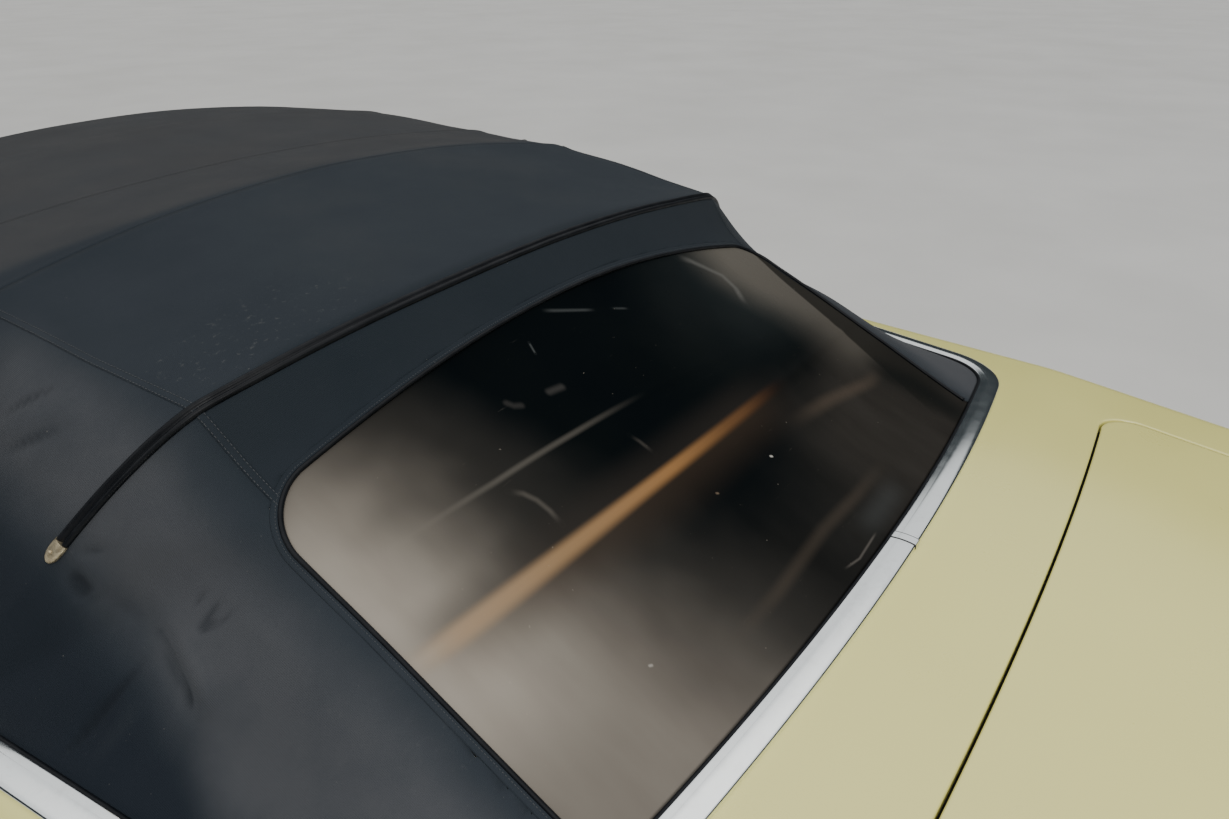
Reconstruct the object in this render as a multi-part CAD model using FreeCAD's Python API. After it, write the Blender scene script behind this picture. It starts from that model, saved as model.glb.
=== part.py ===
"""Folding convertible soft top with its rear window, bright belt mouldings,
upper rear body panel and boot lid. Millimetres. X right, Y forward, Z up.
The origin is the centre of the four bolts under the main pivot brackets."""
import FreeCAD
import Part
import math
import os

V = FreeCAD.Vector
os.makedirs("parts", exist_ok=True)

# belt plane and the pivot of the folding frame
BELT_Z = 150.0
BODY_FRONT_Y = 60.0
BODY_TAIL_Y = -1640.0

# plan of the belt moulding, outer edge
REAR_Y = -660.0
REAR_R = 4260.0
SIDE_X = 731.0
SIDE_SPREAD = 0.17
CORNER_R = 115.0
MOULDING_W = 30.0
MOULDING_H = 6.0
MOULDING_LIP = 6.0
JOINT_X = 62.0

# body skin
SKIN_T = 1.5
CROWN_R = 14200.0
CROWN_Z = 13.8
REAR_FALL = 0.079
SHOULDER_R = 48.0
SIDE_DROP = 70.0

# boot lid
LID_Y = -792.0
LID_TAIL_Y = -1590.0
LID_HALF_W = 580.0
LID_TAPER = 0.045
LID_CORNER_R = 62.0
LID_FRONT_R = 8300.0
LID_GAP = 5.0
LID_AXIS_Y = -705.0
LID_AXIS_Z = BELT_Z - 26.0
LID_ARM_X = 470.0
GUTTER_W = 9.0

# folding frame, positions in the side view measured from the main pivot
KNEE_Y = 365.0
KNEE_Z = BELT_Z + 262.0
LINK_X_PIVOT = 611.0
LINK_X_KNEE = 526.0
LINK_T = 12.0
RAIL_X_KNEE = 497.0
RAIL_X_HEADER = 466.0
RAIL_W = 20.0
RAIL_H = 24.0
HEADER_Y = 990.0
HEADER_RAIL_Z = BELT_Z + 246.0
FABRIC_T = 3.0
BOW_DEPTH = 12.0
BOW_W = 18.0
SEAM_X = 485.0
FIT = 0.3

# hoops of the cover in planes through the main pivot axis
# angle from forward, crown radius, then (x, radius) of side foot, side end, crown start
HOOPS = {
    "side_front": (40.0, 500.0, (690, 30), (543, 352), (478, 428)),
    "knee": (51.1, 430.0, (695, 30), (550, 296), (466, 376)),
    "roof_mid": (85.0, 309.0, (696, 30), (566, 205), (450, 274)),
    "rear_bow": (116.5, 329.5, (697, 30), (576, 176), (440, 288)),
    "window_top": (131.0, 315.0, (697, 30), (545, 205), (450, 268)),
    "curtain_1": (148.0, 352.0, (697, 30), (505, 254), (456, 297.5)),
    "curtain_2": (163.0, 427.0, (697, 30), (520, 338), (468, 378)),
    "curtain_3": (173.0, 520.0, (697, 30), (560, 392), (470, 485.4)),
    "belt": (180.0, 640.0, (697, 30), (622, 510), (540, 604)),
}
# arches of the front roof: y, crown height over the belt, then (x, height)
ARCHES = {
    "middle": (470.0, 324.0, (533, 258), (528, 272), (456, 294)),
    "front": (760.0, 340.0, (518, 258), (512, 274), (442, 305)),
    "header": (990.0, 332.0, (500, 244), (494, 264), (424, 294)),
}
SIDES = {"left": -1, "right": 1}


def save(shape, name):
    shape.exportStep("parts/%s.step" % name)


def mirror(shape):
    return shape.mirror(V(0, 0, 0), V(1, 0, 0))


def box(x0, x1, y0, y1, z0, z1):
    return Part.makeBox(x1 - x0, y1 - y0, z1 - z0, V(x0, y0, z0))


def bar(start, end, width, height):
    """Straight bar with upright end faces across Y."""
    ends = []
    for p in (start, end):
        w = width / 2
        h = height / 2
        pts = [V(p.x - w, p.y, p.z - h), V(p.x + w, p.y, p.z - h)]
        pts += [V(p.x + w, p.y, p.z + h), V(p.x - w, p.y, p.z + h)]
        ends.append(Part.makePolygon(pts + pts[:1]))
    return Part.makeLoft(ends, True, True)


def x_cylinder(x0, x1, y, z, r):
    return Part.makeCylinder(r, x1 - x0, V(x0, y, z), V(1, 0, 0))


def moulding_line(inset, front_y):
    """Plan outline of the belt moulding moved inwards, closed across the front."""
    # rear arc centre, and the corner circle touching it and the side line
    cy = REAR_Y + REAR_R
    n = math.hypot(1.0, SIDE_SPREAD)
    side = SIDE_X - inset * n
    r = CORNER_R - inset
    rear = REAR_R - inset

    def gap(y):
        x = side + SIDE_SPREAD * y - r * n
        return math.hypot(x, y - cy) - (rear - r)

    lo = REAR_Y
    hi = REAR_Y + 500.0
    for _ in range(60):
        mid = (lo + hi) / 2
        if gap(mid) > 0:
            lo = mid
        else:
            hi = mid
    corner = V(side + SIDE_SPREAD * lo - r * n, lo, 0)
    on_side = corner + V(1.0, -SIDE_SPREAD, 0) * (r / n)
    out = V(corner.x, corner.y - cy, 0).normalize()
    on_rear = corner + out * r
    mid_dir = (V(1.0, -SIDE_SPREAD, 0).normalize() + out).normalize()
    mid = corner + mid_dir * r
    front = V(side + SIDE_SPREAD * front_y, front_y, 0)

    def flip(p):
        return V(-p.x, p.y, p.z)

    edges = [
        Part.makeLine(front, on_side),
        Part.Arc(on_side, mid, on_rear).toShape(),
        Part.Arc(on_rear, V(0, cy - rear, 0), flip(on_rear)).toShape(),
        Part.Arc(flip(on_rear), flip(mid), flip(on_side)).toShape(),
        Part.makeLine(flip(on_side), flip(front)),
        Part.makeLine(flip(front), front),
    ]
    return Part.Wire(edges)


def prism(wire, z0=-200.0, z1=500.0):
    shape = Part.Face(wire).extrude(V(0, 0, z1 - z0))
    shape.translate(V(0, 0, z0))
    return shape


def ring(inset0, inset1, front_y):
    inner = prism(moulding_line(inset1, front_y + 5.0))
    return prism(moulding_line(inset0, front_y)).cut(inner)


def lid_line(inset):
    """Plan outline of the boot opening moved inwards."""
    r = max(10.0, LID_CORNER_R - inset)
    y0 = LID_Y - inset
    y1 = LID_TAIL_Y + inset
    w0 = LID_HALF_W - inset + LID_TAPER * 20.0
    w1 = w0 - LID_TAPER * (y0 - y1)
    sag = w0 * w0 / (2 * LID_FRONT_R)
    p = V(w0, y0 + sag - r, 0)
    q = V(w0 - r, y0 + sag * ((w0 - r) / w0) ** 2, 0)
    pm = V(w0 - 0.27 * r, y0 + sag - 0.27 * r, 0)
    s = V(w1 + LID_TAPER * r, y1 + r, 0)
    t = V(w1 - r, y1, 0)
    sm = V(w1 - 0.28 * r, y1 + 0.30 * r, 0)

    def flip(v):
        return V(-v.x, v.y, v.z)

    edges = [
        Part.Arc(flip(q), V(0, y0, 0), q).toShape(),
        Part.Arc(q, pm, p).toShape(),
        Part.makeLine(p, s),
        Part.Arc(s, sm, t).toShape(),
        Part.makeLine(t, flip(t)),
        Part.Arc(flip(t), flip(sm), flip(s)).toShape(),
        Part.makeLine(flip(s), flip(p)),
        Part.Arc(flip(p), flip(pm), flip(q)).toShape(),
    ]
    return Part.Wire(edges)


def crown_height(y):
    z = BELT_Z + CROWN_Z
    if y < REAR_Y:
        z -= REAR_FALL * (REAR_Y - y)
        z -= 0.03 * max(0.0, LID_Y - 300.0 - y)
    return z


def body_section(y, inset, lift=0.0):
    """Cross-section of the rear body at one station."""
    zt = crown_height(y) + lift
    cx = 677.0 + 0.052 * (y - REAR_Y)
    r = SHOULDER_R - inset
    centre_z = zt - CROWN_R
    cz = centre_z + math.sqrt((CROWN_R - SHOULDER_R) ** 2 - cx * cx)
    a0 = math.atan2(cz - centre_z, cx)
    a1 = math.radians(6.0)
    am = (a0 + a1) / 2
    p0 = V(cx + r * math.cos(a0), y, cz + r * math.sin(a0))
    pm = V(cx + r * math.cos(am), y, cz + r * math.sin(am))
    p1 = V(cx + r * math.cos(a1), y, cz + r * math.sin(a1))
    p2 = V(p1.x + SIDE_DROP * math.sin(a1), y, p1.z - SIDE_DROP * math.cos(a1))

    def flip(v):
        return V(-v.x, v.y, v.z)

    edges = [
        Part.makeLine(flip(p2), flip(p1)),
        Part.Arc(flip(p1), flip(pm), flip(p0)).toShape(),
        Part.Arc(flip(p0), V(0, y, zt - inset), p0).toShape(),
        Part.Arc(p0, pm, p1).toShape(),
        Part.makeLine(p1, p2),
        Part.makeLine(p2, flip(p2)),
    ]
    return Part.Wire(edges)


def body_solid(inset, lift=0.0, tail_inset=0.0):
    stations = [BODY_FRONT_Y, REAR_Y, LID_Y - 300.0, BODY_TAIL_Y + tail_inset]
    return Part.makeLoft([body_section(y, inset, lift) for y in stations], True, True)


outer = body_solid(0.0)
inner = body_solid(SKIN_T, 0.0, SKIN_T)
inner = inner.fuse(box(-900, 900, BODY_TAIL_Y + SKIN_T, 200, -200, BELT_Z - 175)).removeSplitter()
inner_open = inner.fuse(
    Part.makeLoft([body_section(y, SKIN_T) for y in (BODY_FRONT_Y, BODY_FRONT_Y + 40)], True, True)
)
skin = outer.cut(inner_open)


def under_skin(depth):
    """The layer of the given depth that touches the underside of the skin."""
    lower = body_solid(SKIN_T, -depth, SKIN_T)
    return body_solid(SKIN_T, 0.0, SKIN_T).cut(lower)


def over_skin(low, high):
    return body_solid(0.0, high).cut(body_solid(0.0, low))


# rear body panel: skin, the channel lips around both openings and the tail
well = prism(moulding_line(42.0, BODY_FRONT_Y + 60.0))
opening = prism(lid_line(0.0))
panel = skin.cut(well).cut(opening)
lip_layer = under_skin(18.0)
well_lip = ring(40.5, 42.0, BODY_FRONT_Y).common(lip_layer)
lid_lip = prism(lid_line(-1.5)).cut(opening).common(lip_layer)
gutter = prism(lid_line(-1.5)).cut(prism(lid_line(GUTTER_W))).common(lip_layer.cut(under_skin(16.5)))
deck_panel = panel.fuse([well_lip, lid_lip, gutter]).removeSplitter()
save(deck_panel, "deck_panel")

tack_rail = ring(10.0, 38.0, BODY_FRONT_Y - 8.0).common(under_skin(14.0))
save(tack_rail, "tack_rail")

# belt moulding in two halves with a cover over the joint
broad = ring(0.0, MOULDING_W - MOULDING_LIP, BODY_FRONT_Y - 2.0)
lip = ring(MOULDING_W - MOULDING_LIP, MOULDING_W, BODY_FRONT_Y - 2.0)
moulding = broad.common(over_skin(0.2, MOULDING_H))
moulding = moulding.fuse(lip.common(over_skin(0.2, MOULDING_H / 2))).removeSplitter()
save(moulding.common(box(-900, JOINT_X, -700, 100, 0, 300)), "moulding_left")
save(moulding.common(box(JOINT_X, 900, -700, 100, 0, 300)), "moulding_right")
cover = ring(-0.8, MOULDING_W - MOULDING_LIP, 0).common(over_skin(MOULDING_H, MOULDING_H + 1.0))
save(cover.common(box(JOINT_X - 6, JOINT_X + 6, -700, -600, 0, 300)), "moulding_joint_cover")

# boot lid
lid_skin = skin.common(prism(lid_line(LID_GAP)))
lid_skirt = prism(lid_line(LID_GAP)).cut(prism(lid_line(LID_GAP + 1.2)))
lid_panel = lid_skin.fuse(lid_skirt.common(under_skin(8.0))).removeSplitter()
save(lid_panel, "lid_panel")
rib_outer = prism(lid_line(LID_GAP + 10.0)).cut(prism(lid_line(LID_GAP + 58.0)))
rib_inner = prism(lid_line(LID_GAP + 11.2)).cut(prism(lid_line(LID_GAP + 56.8)))
lid_frame = rib_outer.common(under_skin(20.0)).cut(rib_inner.common(under_skin(18.8)))
for x in (-190.0, 190.0):
    cross = box(x - 30, x + 30, LID_TAIL_Y + 50, LID_Y - 50, 0, 300).common(under_skin(20.0))
    hollow = box(x - 28.8, x + 28.8, LID_TAIL_Y + 40, LID_Y - 40, 0, 300).common(under_skin(18.8))
    lid_frame = lid_frame.fuse(cross.cut(hollow))
lid_frame = lid_frame.removeSplitter()
save(lid_frame, "lid_frame")


def yz_plate(points, x0, x1):
    pts = [V(x0, y, z) for y, z in points]
    return Part.Face(Part.makePolygon(pts + pts[:1])).extrude(V(x1 - x0, 0, 0))


# goose-neck arms of the boot lid: down from the axis, back under the lip, up to the lid frame
ay = LID_AXIS_Y
az = LID_AXIS_Z
ARM_LINE = [
    (ay + 10, az + 10), (ay + 10, az - 130), (ay - 140, az - 130), (ay - 140, az + 60),
    (ay - 122, az + 60), (ay - 122, az - 112), (ay - 10, az - 112), (ay - 10, az + 10),
]
frame_solid = prism(lid_line(LID_GAP + 10.0)).common(body_solid(SKIN_T, -20.0, SKIN_T))
for side, s in SIDES.items():
    x0 = LID_ARM_X - 5
    arm = yz_plate(ARM_LINE, x0, x0 + 10)
    arm = arm.cut(over_skin(-SKIN_T - 20.0, 60.0))
    foot = box(x0 - 12, x0 + 22, ay - 152, ay - 108, BELT_Z - 60, BELT_Z).common(
        body_solid(SKIN_T, -20.0, SKIN_T).cut(body_solid(SKIN_T, -25.0, SKIN_T)))
    arm = arm.fuse(foot).fuse(x_cylinder(x0, x0 + 10, ay, az, 13))
    arm = arm.cut(x_cylinder(x0 - 1, x0 + 11, ay, az, 5.4)).removeSplitter()
    plate = yz_plate([(ay - 18, az - 16), (ay + 22, az - 16), (ay + 22, az + 60), (ay - 18, az + 60)],
                     x0 + 15, x0 + 18)
    plate = plate.fuse(box(x0 + 15, x0 + 45, ay - 18, ay + 22, az, az + 60).common(under_skin(3.0)))
    plate = plate.common(body_solid(SKIN_T, 0.0, SKIN_T))
    pin = x_cylinder(x0 - 4, x0 + 18, ay, az, 5.0).fuse(x_cylinder(x0 - 7, x0 - 4, ay, az, 8.0))
    hinge = plate.fuse(pin).removeSplitter()
    if s < 0:
        arm = mirror(arm)
        hinge = mirror(hinge)
    save(arm, "lid_arm_%s" % side)
    save(hinge, "lid_hinge_%s" % side)


def path_edges(crown, foot, end, start, inset, place):
    """Outer or inner line of a hoop: side, corner, crown, corner, side."""
    side = V(end[0] - foot[0], end[1] - foot[1], 0).normalize()
    inward = V(-side.y, side.x, 0)
    a = V(foot[0], foot[1], 0) + inward * inset
    b = V(end[0], end[1], 0) + inward * inset
    radius = (start[0] ** 2 + (crown - start[1]) ** 2) / (2 * (crown - start[1]))
    slope = start[0] / radius
    c = V(start[0] - inset * slope, start[1] - inset, 0)
    # corner knot from the crossing of both tangents
    t = V(1.0, -slope, 0)
    det = side.x * t.y - side.y * t.x
    k = ((c.x - b.x) * t.y - (c.y - b.y) * t.x) / det
    q = b + side * k
    m = b * 0.27 + q * 0.46 + c * 0.27
    top = V(0, crown - inset, 0)

    def at(p, sign=1):
        return place(sign * p.x, p.y)

    return [
        Part.makeLine(at(a), at(b)),
        Part.Arc(at(b), at(m), at(c)).toShape(),
        Part.Arc(at(c), at(top), at(c, -1)).toShape(),
        Part.Arc(at(c, -1), at(m, -1), at(b, -1)).toShape(),
        Part.makeLine(at(b, -1), at(a, -1)),
    ]


def band(crown, foot, end, start, inset0, inset1, place):
    """Closed wire between two insets of one hoop."""
    first = path_edges(crown, foot, end, start, inset0, place)
    second = path_edges(crown, foot, end, start, inset1, place)
    ends = []
    for i, vertex in ((0, 0), (-1, 1)):
        ends.append(Part.makeLine(first[i].Vertexes[vertex].Point, second[i].Vertexes[vertex].Point))
    return Part.Wire(Part.__sortEdges__(first + second + ends))


def fan(angle):
    c = math.cos(math.radians(angle))
    s = math.sin(math.radians(angle))
    return lambda x, r: V(x, r * c, BELT_Z + r * s)


def upright(y):
    return lambda x, h: V(x, y, BELT_Z + h)


def hoop_wire(name, inset0=0.0, inset1=FABRIC_T, foot_r=None):
    angle, crown, foot, end, start = HOOPS[name]
    if foot_r is not None:
        k = (foot_r - end[1]) / (foot[1] - end[1])
        foot = (end[0] + (foot[0] - end[0]) * k, foot_r)
    return band(crown, foot, end, start, inset0, inset1, fan(angle))


def arch_wire(name, inset0=0.0, inset1=FABRIC_T):
    y, crown, foot, end, start = ARCHES[name]
    return band(crown, foot, end, start, inset0, inset1, upright(y))


def loft(wires):
    return Part.makeLoft(wires, True, True)


# stretched covers behind the knee of the frame
roof_part = loft([hoop_wire(n) for n in ("knee", "roof_mid", "rear_bow")])
lower_part = loft([hoop_wire(n) for n in ("rear_bow", "window_top")])
lower_names = ("window_top", "curtain_1", "curtain_2", "curtain_3", "belt")
curtain_part = loft([hoop_wire(n) for n in lower_names])
belt_clear = ring(-5.0, MOULDING_W + FIT, BODY_FRONT_Y).common(box(-900, 900, -700, 100, 0, BELT_Z + 22))
body_clear = body_solid(0.0, FIT).fuse(belt_clear)
roof_part = roof_part.cut(body_clear)
curtain_part = curtain_part.cut(body_clear)
lower_part = lower_part.cut(body_clear)
middle = box(-SEAM_X, SEAM_X, -900, 900, 0, 600)
save(roof_part.common(middle), "roof_rear_cover")

# rear window outline in plan: bowed top edge, rounded upper corners, straight sides past the belt
WINDOW_X = 463.0
WINDOW_TOP_Y = -203.0
WINDOW_FOOT_Y = -660.0
WINDOW_R = 58.0
WINDOW_TAPER = 7.0
wr = WINDOW_R
wx = WINDOW_X
wf = WINDOW_X - WINDOW_TAPER
w_top = WINDOW_TOP_Y
w_foot = WINDOW_FOOT_Y
window_edges = [
    Part.Arc(V(-wx + wr, w_top, 0), V(0, w_top + 7, 0), V(wx - wr, w_top, 0)).toShape(),
    Part.Arc(V(wx - wr, w_top, 0), V(wx - 0.29 * wr, w_top - 0.29 * wr, 0), V(wx, w_top - wr, 0)).toShape(),
    Part.makeLine(V(wx, w_top - wr, 0), V(wf, w_foot, 0)),
    Part.makeLine(V(wf, w_foot, 0), V(-wf, w_foot, 0)),
    Part.makeLine(V(-wf, w_foot, 0), V(-wx, w_top - wr, 0)),
    Part.Arc(V(-wx, w_top - wr, 0), V(-wx + 0.29 * wr, w_top - 0.29 * wr, 0), V(-wx + wr, w_top, 0)).toShape(),
]
window_prism = prism(Part.Wire(window_edges), 0.0, 600.0)
rear_part = lower_part.fuse(curtain_part)
save(rear_part.common(window_prism), "rear_window")
save(rear_part.common(middle).cut(window_prism), "rear_curtain")

link_rooms = [bar(V(s * LINK_X_PIVOT, 8, BELT_Z + 6), V(s * LINK_X_KNEE, KNEE_Y - 10, KNEE_Z - 8), LINK_T + 1, 31.0)
              for s in (-1, 1)]
knee_cover = loft([hoop_wire("knee", foot_r=286.0), arch_wire("middle")])
for s, room in zip((-1, 1), link_rooms):
    eye_room = x_cylinder(s * LINK_X_KNEE - 7, s * LINK_X_KNEE + 7, KNEE_Y, KNEE_Z, 16.0)
    knee_cover = knee_cover.cut(room).cut(eye_room)
knee_room = loft([hoop_wire("knee", -4.0, 7.0, 284.0), arch_wire("middle", -4.0, 7.0)])
side_front = loft([hoop_wire("side_front"), hoop_wire("knee")]).cut(knee_room).cut(body_clear)
side_front = side_front.cut(box(-900, 900, -900, 900, KNEE_Z + 12, 600))
quarter = side_front.fuse([roof_part, rear_part]).cut(middle)
save(quarter.common(box(SEAM_X, 900, -900, 900, 0, 600)), "quarter_cover_right")
save(quarter.common(box(-900, -SEAM_X, -900, 900, 0, 600)), "quarter_cover_left")

# strip over the knee and the front roof
save(knee_cover, "roof_knee_cover")
roof_cover = loft([arch_wire(n) for n in ("middle", "front", "header")])
save(roof_cover, "roof_front_cover")


# room of the covers, which the bows are trimmed back from
CLEAR = (-20.0, FABRIC_T + FIT)
cover_rooms = [
    loft([hoop_wire(n, *CLEAR) for n in ("knee", "roof_mid", "rear_bow")]),
    loft([hoop_wire(n, *CLEAR) for n in ("rear_bow", "window_top")]),
    loft([hoop_wire(n, *CLEAR) for n in ("side_front", "knee")]),
    loft([hoop_wire("knee", *CLEAR, foot_r=286.0), arch_wire("middle", *CLEAR)]),
    loft([arch_wire(n, *CLEAR) for n in ("middle", "front", "header")]),
]


def trimmed(shape, rooms):
    for index in rooms:
        shape = shape.cut(cover_rooms[index])
    solids = sorted(shape.Solids, key=lambda solid: solid.Volume)
    return solids[-1]


def hoop_bow(name, inset, depth, width, foot_r=None):
    angle = HOOPS[name][0]
    face = Part.Face(hoop_wire(name, inset, inset + depth, foot_r))
    normal = V(0, -math.sin(math.radians(angle)), math.cos(math.radians(angle)))
    face.translate(normal * (-width / 2))
    return face.extrude(normal * width)


# rear bow: hoop with eyes on the main pivot
REAR_BOW_X = 635.0
rear_bow = hoop_bow("rear_bow", FABRIC_T + FIT, BOW_DEPTH + 3.0, BOW_W, 60.0)
for s in (-1, 1):
    place = fan(HOOPS["rear_bow"][0])
    foot = place(662.0 * s, 62.0)
    eye = x_cylinder(s * REAR_BOW_X - 5, s * REAR_BOW_X + 5, 0, BELT_Z, 15)
    arm = yz_plate([(-9, BELT_Z + 6), (9, BELT_Z - 2), (foot.y + 9, foot.z + 12), (foot.y - 9, foot.z + 3)],
                   s * REAR_BOW_X - 5, s * REAR_BOW_X + 5)
    tie = box(min(s * 630, s * 660), max(s * 630, s * 660), foot.y - 12, foot.y + 8, foot.z - 4, foot.z + 10)
    rear_bow = rear_bow.fuse([eye, arm, tie])
    rear_bow = rear_bow.cut(x_cylinder(s * REAR_BOW_X - 6, s * REAR_BOW_X + 6, 0, BELT_Z, 6.4))
save(trimmed(rear_bow, (0, 1)), "rear_bow")

# double-bead welt over the rear bow with a metal tip at each end
WELT_W = 16.0
WELT_FOOT_R = 168.0
welt = hoop_bow("rear_bow", -3.4, 3.0, WELT_W, WELT_FOOT_R)
save(welt, "welt")
angle = HOOPS["rear_bow"][0]
for side, s in SIDES.items():
    place = fan(angle)
    normal = V(0, -math.sin(math.radians(angle)), math.cos(math.radians(angle)))
    foot = HOOPS["rear_bow"][2]
    end = HOOPS["rear_bow"][3]
    k = (WELT_FOOT_R - end[1]) / (foot[1] - end[1])
    x = end[0] + (foot[0] - end[0]) * k
    along = V(foot[0] - end[0], foot[1] - end[1], 0).normalize()
    out = V(-along.y, along.x, 0)
    pts = []
    for u, w in ((0.3, 0.4), (22.0, 0.4), (22.0, 1.6), (15.0, 4.2), (0.3, 4.2)):
        p = V(x, WELT_FOOT_R, 0) + along * u + out * w
        pts.append(place(s * p.x, p.y) - normal * (WELT_W / 2 + 1))
    tip = Part.Face(Part.makePolygon(pts + pts[:1])).extrude(normal * (WELT_W + 2))
    save(tip, "welt_tip_%s" % side)

# main links and the bow they carry
for side, s in SIDES.items():
    link = bar(V(s * LINK_X_PIVOT, 8, BELT_Z + 6), V(s * LINK_X_KNEE, KNEE_Y - 10, KNEE_Z - 8), LINK_T, 30.0)
    for x, y, z, r, hole in ((LINK_X_PIVOT, 0.0, BELT_Z, 20.0, 6.4), (LINK_X_KNEE, KNEE_Y, KNEE_Z, 15.0, 0.0)):
        link = link.fuse(x_cylinder(s * x - LINK_T / 2, s * x + LINK_T / 2, y, z, r))
        if hole:
            link = link.cut(x_cylinder(s * x - 8, s * x + 8, y, z, hole))
    # pin through the side rail with a head inboard
    x_in = min(s * (RAIL_X_KNEE - 16), s * (LINK_X_KNEE))
    pin = x_cylinder(x_in, x_in + LINK_X_KNEE - RAIL_X_KNEE + 16, KNEE_Y, KNEE_Z, 5.0)
    head_x = s * (RAIL_X_KNEE - 16) - (4 if s > 0 else 0)
    link = link.fuse([pin, x_cylinder(head_x, head_x + 4, KNEE_Y, KNEE_Z, 9.0)])
    save(link, "main_link_%s" % side)

knee_bow = hoop_bow("knee", FABRIC_T + FIT, BOW_DEPTH + 4.0, BOW_W, 262.0)
place = fan(HOOPS["knee"][0])
for s in (-1, 1):
    p = place(556.0 * s, 262.0)
    strut = bar(V(s * 557, p.y, p.z + 2), V(s * 564, p.y + 42, p.z - 58), 10.0, 18.0)
    knee_bow = knee_bow.fuse(strut)
links = [bar(V(s * LINK_X_PIVOT, 8, BELT_Z + 6), V(s * LINK_X_KNEE, KNEE_Y - 10, KNEE_Z - 8), LINK_T, 30.0)
         for s in (-1, 1)]
for shape in links:
    knee_bow = knee_bow.cut(shape)
save(trimmed(knee_bow, (0, 2, 3)), "knee_bow")

# front frame: side rails, two bows, header
for side, s in SIDES.items():
    rail = bar(V(s * RAIL_X_KNEE, KNEE_Y, KNEE_Z), V(s * RAIL_X_HEADER, HEADER_Y - 46, HEADER_RAIL_Z),
               RAIL_W, RAIL_H)
    eye = x_cylinder(s * RAIL_X_KNEE - RAIL_W / 2, s * RAIL_X_KNEE + RAIL_W / 2, KNEE_Y, KNEE_Z, RAIL_H / 2)
    hole = x_cylinder(s * RAIL_X_KNEE - RAIL_W, s * RAIL_X_KNEE + RAIL_W, KNEE_Y, KNEE_Z, 5.4)
    save(rail.fuse(eye).cut(hole).removeSplitter(), "side_rail_%s" % side)


def rail_at(y):
    k = (y - KNEE_Y) / (HEADER_Y - 46 - KNEE_Y)
    x = RAIL_X_KNEE + (RAIL_X_HEADER - RAIL_X_KNEE) * k
    return x, KNEE_Z + (HEADER_RAIL_Z - KNEE_Z) * k


def front_bow(name):
    y, crown, foot, end, start = ARCHES[name]
    x, z = rail_at(y)
    foot = (x + RAIL_W / 2 + FABRIC_T, z + RAIL_H / 2 - BELT_Z + 0.4)
    bend = (foot[0] - 1.0, start[1] - 14.0)
    face = Part.Face(band(crown, foot, bend, start, FABRIC_T + FIT, FABRIC_T + FIT + BOW_DEPTH, upright(y)))
    face.translate(V(0, -BOW_W / 2, 0))
    return face.extrude(V(0, BOW_W, 0))


for name in ("middle", "front"):
    bow = front_bow(name)
    y = ARCHES[name][0]
    for s in (-1, 1):
        x, z = rail_at(y)
        bow = bow.cut(bar(V(s * RAIL_X_KNEE, KNEE_Y, KNEE_Z), V(s * RAIL_X_HEADER, HEADER_Y - 46, HEADER_RAIL_Z),
                          RAIL_W + 0.2, RAIL_H + 0.2))
    save(trimmed(bow, (3, 4)), "%s_bow" % name)

y, crown, foot, end, start = ARCHES["header"]
head_face = Part.Face(band(crown, (490, 236), (488, 262), start, FABRIC_T + FIT, FABRIC_T + 24.0, upright(y - 46)))
header = head_face.extrude(V(0, 44, 0))
for s in (-1, 1):
    header = header.cut(bar(V(s * RAIL_X_KNEE, KNEE_Y, KNEE_Z), V(s * RAIL_X_HEADER, HEADER_Y - 46, HEADER_RAIL_Z),
                            RAIL_W, RAIL_H))
header = trimmed(header, (4,))
save(header, "header_bow")
seal_face = Part.Face(band(crown, (485, 236), (483, 258), start, FABRIC_T + 24.2, FABRIC_T + 31.0, upright(y - 18)))
save(seal_face.extrude(V(0, 14, 0)).cut(header), "header_seal")

# locating pins and latches under the header
PIN_X = 330.0
LATCH_X = 250.0
for side, s in SIDES.items():
    hx = start[0]
    radius = (hx ** 2 + (crown - start[1]) ** 2) / (2 * (crown - start[1]))
    drop = radius - math.sqrt(radius ** 2 - PIN_X ** 2)
    under = BELT_Z + crown - drop - FABRIC_T - 24.0
    pin = Part.makeCylinder(5.0, 22.0, V(s * PIN_X, y - 32, under - 22.0))
    pin = pin.fuse(Part.makeCylinder(9.0, 6.0, V(s * PIN_X, y - 32, under - 4.0))).cut(header)
    save(pin.removeSplitter(), "locating_pin_%s" % side)
    drop = radius - math.sqrt(radius ** 2 - LATCH_X ** 2)
    under = BELT_Z + crown - drop - FABRIC_T - 24.0
    base = box(s * LATCH_X - 22, s * LATCH_X + 22, y - 44, y - 22, under - 8, under + 12).cut(header)
    lever = box(s * LATCH_X - 9, s * LATCH_X + 9, y - 150, y - 34, under - 16, under - 7)
    save(base.fuse(lever).removeSplitter(), "latch_%s" % side)

# weather strips under the side rails
for side, s in SIDES.items():
    z0 = KNEE_Z - RAIL_H / 2 - 5.2
    z1 = HEADER_RAIL_Z - RAIL_H / 2 - 5.2
    strip = bar(V(s * RAIL_X_KNEE, KNEE_Y + 16, z0 - 0.4), V(s * RAIL_X_HEADER, HEADER_Y - 50, z1 - 0.4), 16.0, 10.0)
    save(strip, "side_seal_%s" % side)

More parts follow.
